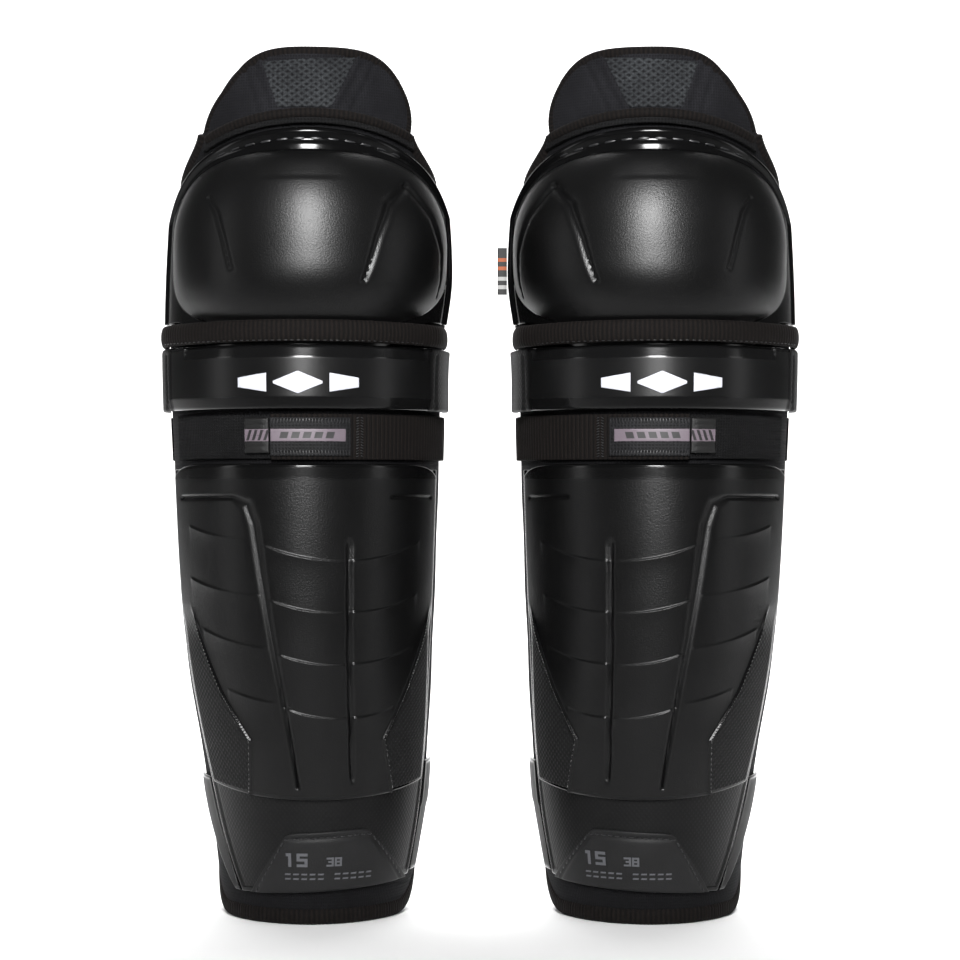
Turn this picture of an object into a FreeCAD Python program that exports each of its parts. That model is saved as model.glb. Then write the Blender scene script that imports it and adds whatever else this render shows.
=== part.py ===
"""Pair of ice hockey shin guards, standing on their lower rims.

Millimetres. +Z is up along the shins, -Y is the front, +X is the wearer's left. The origin is the
middle of the pair's footprint. The wearer's right guard is on the -X side and the left guard is its
mirror image. Every layer is a patch of one egg-shaped skin that wraps the leg: "phi" is the angle
round the leg from the front, in degrees, positive towards the inner side of the leg, and "rise" is
the distance outwards from the outer face of the foam.
"""
import FreeCAD, Part
import math
import os
from FreeCAD import Matrix, Vector

os.makedirs("parts", exist_ok=True)

# the pair
HALF_SPACING = 100.8  # from the middle plane to the centre line of each guard
WIDEST_Y = 25.0  # depth of the line where the guards are widest
BACK_DEPTH = 48.0  # from that line to the back of the strap loop

# outer face of the foam: height, centre (towards the inner side), half width, front depth
SECTIONS = (
    (0.0, 6.5, 52.5, 60.0),
    (70.0, 6.8, 62.0, 70.0),
    (160.0, 2.5, 71.5, 80.0),
    (270.0, 1.2, 76.5, 83.0),
    (315.0, 0.8, 77.5, 83.0),
    (362.0, 4.0, 80.0, 83.0),
    (440.0, 3.5, 75.0, 79.0),
    (490.0, 3.0, 72.0, 72.0),
)

# shin section, heights and thicknesses
FOAM = 7.0  # thickness of the foam carriers
SHIN_TOP = 298.0
SHIN_TOP_BACK = 282.0
SHIN_WRAP = 116.0  # how far round the leg the foam reaches, degrees
BINDING_WIDTH = 8.0
BINDING_PROUD = 1.2
RIM_TRIM = 0.6  # pressed flat where the rim stands
HEEL_LIFT = 26.0  # how much the lower rim rises towards its back corners
LINER_GAP = 1.3
LINER = 5.4

PLATE_FOOT = 16.5
PLATE_RISE = 0.5
PLATE_THICK = 1.3
CAP_RISE = 2.1
CAP_THICK = 2.8
CAP_MARGIN = 5.5  # degrees of plate left uncovered at each side
CAP_BOTTOM = 70.0
CAP_TOP = 255.0

# strap
STRAP_LOW = 257.0
STRAP_HIGH = 282.0
WEB_THICK = 1.6
STRAP_HINGE = 80.0  # angle where the front of the strap opens
TAB_HINGE = -10.3
TAB_END = -21.5
PATCH_END = 21.5

# sling band between the knee cap and the shin cap
BAND_LOW = 284.5
BAND_HIGH = 319.5
ROLL_LOW = 319.9
ROLL_HIGH = 332.0
BAND_THICK = 3.0
BAND_WRAP = 93.0

# knee section
KNEE_LOW = 304.0
KNEE_TOP = 440.0
KNEE_WRAP = 112.0
KNEE_BACK_LIFT = 22.0  # how much the foam's lower edge rises towards the back
KNEE_CAP_LOW = 316.0
KNEE_CAP_TOP = 438.2
KNEE_CAP_WRAP = 74.0
TONGUE = 17.5  # how far the middle of the cap's foot hangs below its sides
DOME_HEIGHT = 14.0
DOME_CENTRE = 368.0

# thigh flap
FLAP_LOW = 441.5
FLAP_TOP = 484.0
FLAP_SHOULDER = 18.0
FLAP_WRAP = 52.0


def ramp(value, start, end):
    """0 before start, 1 after end, smooth between them."""
    t = min(1.0, max(0.0, (value - start) / (end - start)))
    return t * t * (3.0 - 2.0 * t)


def section(z):
    """Centre, half width and front depth at a height, by a smooth curve through SECTIONS."""
    count = len(SECTIONS)
    i = 0
    while i < count - 2 and z > SECTIONS[i + 1][0]:
        i += 1
    step = SECTIONS[i + 1][0] - SECTIONS[i][0]
    t = (z - SECTIONS[i][0]) / step

    def slope(k, column):
        before = max(0, k - 1)
        after = min(count - 1, k + 1)
        run = SECTIONS[after][0] - SECTIONS[before][0]
        return (SECTIONS[after][column] - SECTIONS[before][column]) / run

    values = []
    for column in (1, 2, 3):
        p0 = SECTIONS[i][column]
        p1 = SECTIONS[i + 1][column]
        m0 = slope(i, column) * step
        m1 = slope(i + 1, column) * step
        blend = (2 * t**3 - 3 * t**2 + 1) * p0 + (t**3 - 2 * t**2 + t) * m0
        values.append(blend + (3 * t**2 - 2 * t**3) * p1 + (t**3 - t**2) * m1)
    return values


def skin(phi, z, rise):
    """Point on the skin of the wearer's right guard."""
    centre, half_width, depth = section(z)
    angle = math.radians(phi)
    middle = (depth + BACK_DEPTH) / 2
    swing = (depth - BACK_DEPTH) / 2
    x = centre + (half_width + rise) * math.sin(angle)
    y = WIDEST_Y - (middle + swing * math.cos(angle) + rise) * math.cos(angle)
    return Vector(x - HALF_SPACING, y, z)


def sheet(place, rise, across, along):
    """One smooth face: place(s, t) gives phi and z, rise(phi, z) gives the height over the foam."""
    grid = []
    for i in range(across + 1):
        row = []
        for j in range(along + 1):
            phi, z = place(i / across, j / along)
            row.append(skin(phi, z, rise(phi, z)))
        grid.append(row)
    surface = Part.BSplineSurface()
    surface.interpolate(grid)
    return surface


def panel(place, inner, outer, across=24, along=12):
    """Closed solid between two sheets over the same outline."""
    low = sheet(place, inner, across, along)
    high = sheet(place, outer, across, along)
    u0, u1, v0, v1 = low.bounds()
    faces = [low.toShape(), high.toShape()]
    for u in (u0, u1):
        faces.append(Part.makeRuledSurface(low.uIso(u).toShape(), high.uIso(u).toShape()))
    for v in (v0, v1):
        faces.append(Part.makeRuledSurface(low.vIso(v).toShape(), high.vIso(v).toShape()))
    shell = Part.makeShell(faces)
    shell.sewShape()
    solid = Part.makeSolid(shell)
    if solid.Volume < 0:
        solid.reverse()
    return solid


def level(value):
    """A rise that is the same everywhere."""
    return lambda phi, z: value


def strip(phi_low, phi_high, z_low, z_high):
    """Outline that is a plain rectangle in phi and z."""
    return lambda s, t: (phi_low + s * (phi_high - phi_low), z_low + t * (z_high - z_low))


def block(phi, z, rise, width, height, thick):
    """Small box lying on the skin: width round the leg, height up it."""
    at = skin(phi, z, rise)
    side = (skin(phi + 0.5, z, rise) - skin(phi - 0.5, z, rise)).normalize()
    up = (skin(phi, z + 0.5, rise) - skin(phi, z - 0.5, rise)).normalize()
    out = side.cross(up).normalize()
    box = Part.makeBox(width, height, thick, Vector(-width / 2, -height / 2, 0))
    turn = Matrix(side.x, up.x, out.x, at.x, side.y, up.y, out.y, at.y, side.z, up.z, out.z, at.z, 0, 0, 0, 1)
    return box.transformGeometry(turn)


# ---- shin section ----

def shin_outline(wrap_share, low_edge):
    """Outline of the shin foam, drawn in by a share of its wrap and lifted off its rim."""
    def place(s, t):
        wrap = (SHIN_WRAP - 14.0 * (1 - t) ** 2) * wrap_share
        phi = (2 * s - 1) * wrap
        bottom = low_edge + HEEL_LIFT * min(1.0, max(0.0, (abs(phi) - 62.0) / 42.0)) ** 2
        top = SHIN_TOP - (SHIN_TOP - SHIN_TOP_BACK) * ramp(abs(phi), 82.0, 114.0)
        return phi, bottom + t * (top - bottom)
    return place


def shin_carrier():
    """Foam backbone of the guard, with a fabric face."""
    return panel(shin_outline(0.935, BINDING_WIDTH + 0.2), level(-FOAM), level(0.0), 32, 16)


def shin_binding():
    """Ribbed tape folded over the rim and the two back edges."""
    whole = panel(shin_outline(1.0, -RIM_TRIM), level(-FOAM - 0.6), level(BINDING_PROUD), 32, 16)
    window = panel(shin_window, level(-FOAM - 6.0), level(BINDING_PROUD + 6.0), 32, 16)
    ground = Part.makeBox(300.0, 300.0, 20.0, Vector(-HALF_SPACING - 150.0, -150.0, -20.0))
    return whole.cut(window).cut(ground)


def shin_window(s, t):
    """Outline of the foam left open by the binding; it runs out over the top edge."""
    phi, z = shin_outline(0.936, BINDING_WIDTH)(s, t)
    return phi, z + 14.0 * ramp(t, 0.9, 1.0)


def shin_liner():
    """Removable padded lining behind the foam."""
    def place(s, t):
        phi = (2 * s - 1) * (94.0 - 8.0 * (1 - t) ** 2)
        bottom = 14.0 + 14.0 * ramp(abs(phi), 55.0, 94.0)
        return phi, bottom + t * (286.0 - bottom)
    return panel(place, level(-FOAM - LINER_GAP - LINER), level(-FOAM - LINER_GAP), 24, 12)


def plate_edge(z):
    """Angles of the base plate's two side edges at a height: they open quickly above the foot."""
    share = 1 - math.exp(-(z - PLATE_FOOT) / 57.0)
    return -42.5 - 28.0 * share, 66.0 + 8.5 * share


def base_plate():
    """Thin moulded plate with a fine texture, seen below the cap and along its sides."""
    def place(s, t):
        foot = PLATE_FOOT + 6.5 * s
        z = foot + t * (252.0 - foot)
        lateral, medial = plate_edge(z)
        return lateral + s * (medial - lateral), z
    return panel(place, level(PLATE_RISE), level(PLATE_RISE + PLATE_THICK), 24, 16)


def shin_cap():
    """Hard outer cap over the shin, with its upper corners rounded by the outline."""
    def place(s, t):
        drop = 7.0 * abs(2 * s - 1) ** 10
        foot = CAP_BOTTOM + 7.0 * (2 * s - 1) ** 2
        z = foot + t * (CAP_TOP - drop - foot)
        lateral, medial = plate_edge(z)
        return lateral + CAP_MARGIN + s * (medial - lateral - 2 * CAP_MARGIN), z
    return panel(place, level(CAP_RISE), level(CAP_RISE + CAP_THICK), 28, 16)


def lateral_wing_outline(s, t):
    """Runs down and inwards behind the plate's outer edge to a narrow foot."""
    z = 17.0 + t * 62.0
    front = plate_edge(z)[0] - 1.5
    return front - s * (4.0 + 20.0 * t), z


def medial_wing_outline(s, t):
    """Runs down behind the plate's inner edge."""
    z = 25.0 + t * 62.0
    front = plate_edge(z)[1] + 1.5
    return front + s * (10.0 + 12.0 * t), z


def wing(lateral):
    """Moulded guard behind the lower edge of the plate, on one side."""
    if lateral:
        return panel(lateral_wing_outline, level(0.4), level(2.0), 8, 8)
    return panel(medial_wing_outline, level(0.4), level(2.0), 8, 8)


def size_patch():
    """Stitched trapezoid patch at the foot of the plate."""
    def place(s, t):
        left = -35.5 + 21.0 * t
        right = 63.5 - 30.0 * t
        foot = PLATE_FOOT + 0.5 + 5.0 * s
        head = 51.5 + 2.4 * s
        return left + s * (right - left), foot + t * (head - foot)
    rise = PLATE_RISE + PLATE_THICK + 0.1
    return panel(place, level(rise), level(rise + 1.3), 14, 8)


# ---- strap ----

def web_rise(phi, z):
    """The strap lies on the foam and climbs over the loop panel at the front."""
    return 0.6 + 1.7 * (1 - ramp(phi, 10.0, 26.0))


def loop_panel():
    """Strip of loop pile sewn to the outer side of the guard."""
    return panel(strip(-64.0, 8.0, STRAP_LOW, STRAP_HIGH), level(0.4), level(1.9), 20, 3)


def back_rise(phi, z):
    """The strap climbs over the binding on the back edge of the foam."""
    return 0.6 + 1.0 * ramp(phi, 90.0, 100.0)


def back_strap():
    """Elastic webbing that runs from the inner edge round the calf to the outer side."""
    return panel(strip(STRAP_HINGE + 0.8, 262.0, STRAP_LOW, STRAP_HIGH), back_rise,
                 lambda phi, z: back_rise(phi, z) + WEB_THICK, 48, 3)


def strap_web():
    """Front end of the elastic webbing, with the hook pile under it."""
    return panel(strip(TAB_HINGE, STRAP_HINGE, STRAP_LOW, STRAP_HIGH), web_rise,
                 lambda phi, z: web_rise(phi, z) + WEB_THICK, 24, 3)


def strap_patch():
    """Reinforcing patch sewn on the end of the webbing."""
    return panel(strip(TAB_HINGE, PATCH_END, STRAP_LOW + 2.0, STRAP_HIGH - 2.0),
                 lambda phi, z: web_rise(phi, z) + WEB_THICK + 0.05,
                 lambda phi, z: web_rise(phi, z) + WEB_THICK + 1.1, 10, 3)


def strap_bar():
    """Thin welded bar along the middle of the patch."""
    return panel(strip(TAB_HINGE + 0.5, PATCH_END - 3.0, 266.5, 273.5),
                 lambda phi, z: web_rise(phi, z) + WEB_THICK + 1.15,
                 lambda phi, z: web_rise(phi, z) + WEB_THICK + 1.5, 10, 2)


def pull_tab():
    """Moulded rubber tab that is pinched to open the strap."""
    return panel(strip(TAB_END, TAB_HINGE - 0.3, 260.5, 280.0), level(2.3), level(5.0), 6, 4)


# ---- sling band ----

def band_rise(front, side):
    """Rise of a band that stands off the knee cap in front and lies close at the sides."""
    return lambda phi, z: side + (front - side) * (1 - ramp(abs(phi), 56.0, 82.0))


def band_shell():
    """Moulded sling band across the gap between the knee cap and the shin cap."""
    return panel(strip(-BAND_WRAP, BAND_WRAP, BAND_LOW, BAND_HIGH), band_rise(5.6, 1.4),
                 band_rise(5.6 + BAND_THICK, 1.4 + BAND_THICK), 32, 6)


def band_roll():
    """Padded textile roll along the upper edge of the band."""
    return panel(strip(-BAND_WRAP + 2.0, BAND_WRAP - 2.0, ROLL_LOW, ROLL_HIGH), band_rise(7.6, 1.6),
                 band_rise(12.4, 5.4), 32, 4)


def band_emblem():
    """Plain raised mark: a lozenge with a tapering bar on each side."""
    low = band_rise(5.6 + BAND_THICK + 0.05, 0.0)
    high = band_rise(5.6 + BAND_THICK + 0.55, 0.0)
    middle = 299.0

    def lozenge(s, t):
        half = 6.2 * (1 - abs(2 * s - 1) * 0.9)
        return 1.0 + 9.0 * (2 * s - 1), middle + half * (2 * t - 1)

    def bar(direction):
        def place(s, t):
            half = 5.2 - 2.6 * s
            return 1.0 + direction * (11.5 + 11.0 * s), middle + half * (2 * t - 1)
        return place

    return [panel(lozenge, low, high, 12, 2), panel(bar(-1), low, high, 6, 2), panel(bar(1), low, high, 6, 2)]


def band_stitches():
    """Short stitches down each end of the band."""
    stitches = []
    for phi in (-78.0, 78.0):
        for k in range(6):
            rise = band_rise(5.6 + BAND_THICK, 1.4 + BAND_THICK)(phi, 0.0)
            stitches.append(block(phi, 289.5 + 4.8 * k, rise + 0.15, 1.2, 3.2, 0.7))
    return stitches


def flex_gusset():
    """Stretch fabric that joins the shin foam to the knee foam behind the band."""
    return panel(strip(-78.0, 78.0, 272.0, 303.0), level(-FOAM - 1.1), level(-FOAM - 0.3), 20, 4)


# ---- knee section ----

def knee_wrap(z):
    """How far round the leg the knee foam reaches at a height."""
    return KNEE_WRAP - 42.0 * ramp(z, 372.0, 412.0) - 16.5 * ramp(z, 412.0, KNEE_TOP)


def knee_outline(margin, low, high, back_lift):
    """Outline of a knee layer, drawn in from the foam's edge by a margin in degrees."""
    def place(s, t):
        z_side = low + t * (high - low)
        phi = (2 * s - 1) * (knee_wrap(z_side) - margin)
        bottom = low + back_lift * ramp(abs(phi), 84.0, KNEE_WRAP)
        return phi, bottom + t * (high - bottom)
    return place


def knee_carrier():
    """Foam backbone of the knee section, with a fabric face."""
    return panel(knee_outline(4.2, KNEE_LOW, KNEE_TOP, KNEE_BACK_LIFT), level(-FOAM), level(0.0), 32, 18)


def knee_binding():
    """Ribbed tape along the two back edges of the knee section."""
    outer = knee_outline(0.0, KNEE_LOW, KNEE_TOP, KNEE_BACK_LIFT)
    inner = knee_outline(3.8, KNEE_LOW, KNEE_TOP, KNEE_BACK_LIFT)
    edges = []
    for side in (0, 1):
        def place(s, t, side=side):
            phi_out, z_out = outer(side, t)
            phi_in, z_in = inner(side, t)
            share = s if side else 1 - s
            return phi_in + share * (phi_out - phi_in), z_in + share * (z_out - z_in)
        edges.append(panel(place, level(-FOAM - 0.6), level(BINDING_PROUD), 3, 18))
    return edges


def knee_pad():
    """Soft inner pad around the kneecap."""
    def place(s, t):
        z = 322.0 + t * 108.0
        reach = 58.0 - 22.0 * (2 * t - 1) ** 4
        return (2 * s - 1) * reach, z
    return panel(place, level(-FOAM - 9.0), level(-FOAM - 0.5), 18, 12)


def dome(phi, z):
    """Height of the knee dome over the cap's flange."""
    across = abs(phi - 2.0) / 66.0
    up = abs(z - DOME_CENTRE) / (40.0 if z < DOME_CENTRE else 58.0)
    fullness = 1.3 - 0.3 * ramp(z, 345.0, 390.0)
    return DOME_HEIGHT * max(0.0, 1 - across**2.6 - up**2.6) ** fullness


def knee_cap():
    """Hard domed cap over the kneecap; a tongue at its foot is tucked behind the band."""
    def place(s, t):
        phi = (2 * s - 1) * KNEE_CAP_WRAP
        top = KNEE_CAP_TOP - 0.0057 * (phi - 3.0) ** 2 - 16.0 * abs(2 * s - 1) ** 6
        foot = KNEE_CAP_LOW + TONGUE * ramp(abs(phi), 30.0, 60.0)
        return phi, foot + t * (top - foot)
    return panel(place, lambda phi, z: 1.2 + dome(phi, z), lambda phi, z: 4.2 + dome(phi, z), 36, 26)


def knee_foam():
    """Impact foam that fills the dome."""
    def place(s, t):
        z = 340.0 + 70.0 * t
        reach = 44.0 - 12.0 * (2 * t - 1) ** 2
        return (2 * s - 1) * reach, z
    return panel(place, level(0.3), lambda phi, z: 0.4 + dome(phi, z), 16, 10)


def knee_stitches():
    """Row of stitches under the lip of the cap."""
    stitches = []
    for k in range(13):
        phi = -36.0 + 6.2 * k
        z = 431.0 - 0.0042 * (phi - 3.0) ** 2
        stitches.append(block(phi, z, 4.6 + dome(phi, z), 3.4, 1.0, 0.7))
    return stitches


def knee_hem():
    """Ribbed textile hem over the upper edge of the knee section."""
    def place(s, t):
        phi = -43.0 + 91.0 * s
        return phi, 441.0 - 0.0052 * (phi - 4.0) ** 2 + 7.6 * t
    return panel(place, level(0.3), level(4.8), 20, 4)


# ---- thigh flap ----

def flap_point(across, up):
    """Place on the flap from its shares across, -1 to 1, and up, 0 to 1; the shoulders are rounded."""
    phi = 1.5 + 5.5 * up + across * FLAP_WRAP * (1 - 0.2 * up**2)
    top = FLAP_TOP - FLAP_SHOULDER * abs(across) ** 4
    return phi, FLAP_LOW + up * (top - FLAP_LOW)


def thigh_flap():
    """Soft moulded panel that guards the front of the thigh just above the knee."""
    return panel(lambda s, t: flap_point(0.915 * (2 * s - 1), 0.895 * t), level(-5.0), level(-1.0), 24, 10)


def flap_binding():
    """Ribbed tape folded over the flap's two side edges and its top edge."""
    left = panel(lambda s, t: flap_point(-1.0 + 0.075 * s, 0.9 * t), level(-5.6), level(-0.4), 3, 12)
    right = panel(lambda s, t: flap_point(0.925 + 0.075 * s, 0.9 * t), level(-5.6), level(-0.4), 3, 12)
    top = panel(lambda s, t: flap_point(2 * s - 1, 0.905 + 0.095 * t), level(-5.6), level(-0.4), 32, 3)
    return [left, right, top]


def flap_mesh():
    """Open mesh insert in the middle of the flap."""
    def place(s, t):
        return 1.0 + 2.0 * t + (2 * s - 1) * (11.5 + 9.5 * t), 450.0 + (25.5 + 3.0 * s) * t
    return panel(place, level(-0.9), level(-0.5), 10, 4)


# ---- label on the left guard only ----

def tab_label():
    """Folded woven label sewn into the inner edge of the knee section."""
    edge = skin(90.0, 366.0, BINDING_PROUD)
    return Part.makeBox(5.5, 1.4, 27.0, Vector(edge.x + 0.1, edge.y - 0.7, 352.5))


GUARD = {
    "shin_carrier": shin_carrier,
    "shin_binding": shin_binding,
    "shin_liner": shin_liner,
    "base_plate": base_plate,
    "shin_cap": shin_cap,
    "lateral_wing": lambda: wing(True),
    "medial_wing": lambda: wing(False),
    "size_patch": size_patch,
    "loop_panel": loop_panel,
    "back_strap": back_strap,
    "strap_web": strap_web,
    "strap_patch": strap_patch,
    "strap_bar": strap_bar,
    "pull_tab": pull_tab,
    "band_shell": band_shell,
    "band_roll": band_roll,
    "band_emblem": band_emblem,
    "band_stitches": band_stitches,
    "flex_gusset": flex_gusset,
    "knee_carrier": knee_carrier,
    "knee_binding": knee_binding,
    "knee_pad": knee_pad,
    "knee_cap": knee_cap,
    "knee_foam": knee_foam,
    "knee_stitches": knee_stitches,
    "knee_hem": knee_hem,
    "thigh_flap": thigh_flap,
    "flap_binding": flap_binding,
    "flap_mesh": flap_mesh,
}


def save(name, shape):
    """Write one node and its volume."""
    shape.exportStep("parts/" + name + ".step")
    print(name, "solids", len(shape.Solids), "volume", round(shape.Volume), "valid", shape.isValid())


def other_leg(shape):
    """The same piece on the wearer's left guard."""
    return shape.mirror(Vector(0, 0, 0), Vector(1, 0, 0))


for name, make in GUARD.items():
    piece = make()
    if isinstance(piece, list):
        piece = Part.makeCompound(piece)
    save("right_" + name, piece)
    save("left_" + name, other_leg(piece))

save("left_tab_label", other_leg(tab_label()))
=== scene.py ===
import bpy
import numpy as np
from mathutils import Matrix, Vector


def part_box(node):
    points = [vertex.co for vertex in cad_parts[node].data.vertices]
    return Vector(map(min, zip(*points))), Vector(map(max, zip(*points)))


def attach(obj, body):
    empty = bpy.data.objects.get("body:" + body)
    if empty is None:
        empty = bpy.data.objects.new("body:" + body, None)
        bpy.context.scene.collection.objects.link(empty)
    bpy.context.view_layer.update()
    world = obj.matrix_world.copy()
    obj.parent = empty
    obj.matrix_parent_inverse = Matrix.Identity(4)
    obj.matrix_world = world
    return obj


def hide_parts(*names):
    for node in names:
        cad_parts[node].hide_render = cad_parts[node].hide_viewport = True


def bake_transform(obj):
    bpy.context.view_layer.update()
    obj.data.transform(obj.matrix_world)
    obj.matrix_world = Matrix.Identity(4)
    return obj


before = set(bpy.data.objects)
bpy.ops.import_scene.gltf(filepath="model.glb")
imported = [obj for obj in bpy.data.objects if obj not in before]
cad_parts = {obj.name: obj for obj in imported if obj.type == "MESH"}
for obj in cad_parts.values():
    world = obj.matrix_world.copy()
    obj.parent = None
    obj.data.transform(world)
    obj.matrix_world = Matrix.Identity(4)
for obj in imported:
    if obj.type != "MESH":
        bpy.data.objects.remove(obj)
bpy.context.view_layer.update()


# ---- Foam carriers ----
# The backbone of each guard is a 7 mm sheet of cross-linked foam, thermoformed round the shin, with black
# brushed fabric laminated to its face. A second, shorter sheet wraps the knee. Everything else is sewn or
# riveted to them, so the egg-shaped form they take is the form of every outer layer.

HALF_SPACING = 100.8  # mm from the middle plane to the centre line of each guard
WIDEST_Y = 25.0
BACK_DEPTH = 48.0
SECTION_Z = np.array([0.0, 70.0, 160.0, 270.0, 315.0, 362.0, 440.0, 490.0])
SECTION_FORM = np.array([  # centre, half width, front depth
    (6.5, 52.5, 60.0), (6.8, 62.0, 70.0), (2.5, 71.5, 80.0), (1.2, 76.5, 83.0),
    (0.8, 77.5, 83.0), (4.0, 80.0, 83.0), (3.5, 75.0, 79.0), (3.0, 72.0, 72.0),
])
ARC = 1.31  # mm of arc for each degree round the leg


def ramp(value, start, end):
    """0 before start, 1 after end, and 3t^2 - 2t^3 between them."""
    t = np.clip((value - start) / (end - start), 0.0, 1.0)
    return t * t * (3.0 - 2.0 * t)


def section(z):
    """Centre, half width and front depth at heights z: cubic Hermite through the sections."""
    last = len(SECTION_Z) - 1
    before = np.maximum(np.arange(last + 1) - 1, 0)
    after = np.minimum(np.arange(last + 1) + 1, last)
    slope = (SECTION_FORM[after] - SECTION_FORM[before]) / (SECTION_Z[after] - SECTION_Z[before])[:, None]
    i = np.clip(np.searchsorted(SECTION_Z, z) - 1, 0, last - 1)
    step = (SECTION_Z[i + 1] - SECTION_Z[i])[..., None]
    t = (z[..., None] - SECTION_Z[i][..., None]) / step
    form = (2 * t**3 - 3 * t**2 + 1) * SECTION_FORM[i] + (t**3 - 2 * t**2 + t) * slope[i] * step
    form += (3 * t**2 - 2 * t**3) * SECTION_FORM[i + 1] + (t**3 - t**2) * slope[i + 1] * step
    return form[..., 0], form[..., 1], form[..., 2]


def skin(phi, z, rise):
    """Points in metres on the right guard: an ellipse-like ring at each height, pushed out by rise."""
    phi, z, rise = np.broadcast_arrays(np.asarray(phi, float), np.asarray(z, float), np.asarray(rise, float))
    centre, half_width, depth = section(z)
    angle = np.radians(phi)
    middle = (depth + BACK_DEPTH) / 2
    swing = (depth - BACK_DEPTH) / 2
    x = centre + (half_width + rise) * np.sin(angle) - HALF_SPACING
    y = WIDEST_Y - (middle + swing * np.cos(angle) + rise) * np.cos(angle)
    return np.stack([x, y, z], axis=-1) * 0.001


def spread(length, step, edge):
    """Shares 0 to 1 along a side: crowded within the edge radius of each end, even between."""
    near = edge * np.array([0.0, 0.04, 0.14, 0.32, 0.6, 1.0])
    count = max(2, int(round((length - 2 * edge) / step)))
    middle = np.linspace(edge, length - edge, count + 1)[1:-1]
    return np.concatenate([near, middle, length - near[::-1]]) / length


def shell(place, inner, outer, size, step, edge=1.4, back=(14, 10)):
    """Closed plate between two rises over an outline place(s, t) -> phi, z.
    The outer face is a fine grid that rolls down by a quarter circle at its edge; the inner face is coarse."""
    s, t = spread(size[0], step[0], edge), spread(size[1], step[1], edge)
    across, up = np.meshgrid(s, t, indexing="ij")
    phi, z = place(across, up)
    low = np.broadcast_to(inner(phi, z), phi.shape)
    high = np.broadcast_to(outer(phi, z), phi.shape)
    reach = np.minimum(np.minimum(across, 1 - across) * size[0], np.minimum(up, 1 - up) * size[1])
    fall = edge - np.sqrt(np.maximum(0.0, edge**2 - np.clip(edge - reach, 0, edge) ** 2))
    high = high - fall * np.minimum(1.0, 0.75 * (high - low) / edge)
    a = np.unique(np.linspace(0, len(s) - 1, back[0] + 1).round().astype(int))
    b = np.unique(np.linspace(0, len(t) - 1, back[1] + 1).round().astype(int))
    top = skin(phi, z, high).reshape(-1, 3)
    pick = np.ix_(a, b)
    under = skin(phi[pick], z[pick], low[pick]).reshape(-1, 3)
    front = np.arange(len(s) * len(t)).reshape(len(s), len(t))
    rear = len(top) + np.arange(len(a) * len(b)).reshape(len(a), len(b))
    faces = [
        np.stack([front[:-1, :-1], front[1:, :-1], front[1:, 1:], front[:-1, 1:]], -1).reshape(-1, 4),
        np.stack([rear[:-1, :-1], rear[:-1, 1:], rear[1:, 1:], rear[1:, :-1]], -1).reshape(-1, 4),
    ]
    for k in range(len(a) - 1):
        run = slice(a[k], a[k + 1] + 1)
        faces.append(np.concatenate([front[run, 0][::-1], [rear[k, 0], rear[k + 1, 0]]])[None])
        faces.append(np.concatenate([front[run, -1], [rear[k + 1, -1], rear[k, -1]]])[None])
    for k in range(len(b) - 1):
        run = slice(b[k], b[k + 1] + 1)
        faces.append(np.concatenate([front[-1, run][::-1], [rear[-1, k], rear[-1, k + 1]]])[None])
        faces.append(np.concatenate([front[0, run], [rear[0, k + 1], rear[0, k]]])[None])
    uv = np.concatenate([
        np.stack([phi * ARC, z], -1).reshape(-1, 2),
        np.stack([phi[pick] * ARC, z[pick]], -1).reshape(-1, 2),
    ]) * 0.001
    place_of = (np.concatenate([phi.ravel(), phi[pick].ravel()]), np.concatenate([z.ravel(), z[pick].ravel()]))
    return {"points": np.concatenate([top, under]), "faces": faces, "uv": uv, "at": place_of,
            "reach": np.concatenate([reach.ravel(), reach[pick].ravel()])}


def make_mesh(name, form, flip, marks, sharp):
    """One mesh from arrays of points and faces; flip -1 mirrors it about x = 0 and reverses its faces."""
    mesh = bpy.data.meshes.new(name)
    points = form["points"] * np.array([flip, 1.0, 1.0])
    faces = [f[:, ::flip] for f in form["faces"]]
    loops = np.concatenate([f.ravel() for f in faces]).astype(np.int32)
    sizes = np.concatenate([np.full(len(f), f.shape[1]) for f in faces])
    mesh.vertices.add(len(points))
    mesh.vertices.foreach_set("co", points.astype(np.float32).ravel())
    mesh.loops.add(len(loops))
    mesh.loops.foreach_set("vertex_index", loops)
    mesh.polygons.add(len(sizes))
    mesh.polygons.foreach_set("loop_start", np.concatenate([[0], np.cumsum(sizes)[:-1]]).astype(np.int32))
    mesh.update(calc_edges=True)
    layer = mesh.uv_layers.new(name="cloth")
    layer.data.foreach_set("uv", form["uv"][loops].astype(np.float32).ravel())
    for mark, values in marks.items():
        data = mesh.attributes.new(mark, "FLOAT", "POINT").data
        data.foreach_set("value", np.asarray(values, np.float32).ravel())
    mesh.shade_smooth()
    mesh.set_sharp_from_angle(angle=np.radians(sharp))
    return mesh


def both_legs(piece, form, material, body, replaces=(), marks=None, sharp=50.0,
              soften=None):
    """One piece on each guard. The left guard's is the right guard's mirror image."""
    made = []
    for side, flip in (("right", 1), ("left", -1)):
        name = side + "_" + piece
        obj = bpy.data.objects.new(name, make_mesh(name, form, flip, marks or {}, sharp))
        bpy.context.scene.collection.objects.link(obj)
        obj.data.materials.append(material)
        if soften:
            soften(obj)
        if body:
            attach(obj, side + "_" + body)
        if replaces:
            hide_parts(*[side + "_" + node for node in replaces])
        made.append(obj)
    return made


def colour(code):
    """sRGB hex to linear red, green, blue and alpha 1."""
    value = np.array([int(code[i:i + 2], 16) for i in (1, 3, 5)]) / 255
    linear = np.where(value <= 0.04045, value / 12.92, ((value + 0.055) / 1.055) ** 2.4)
    return (*linear.tolist(), 1.0)


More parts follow.
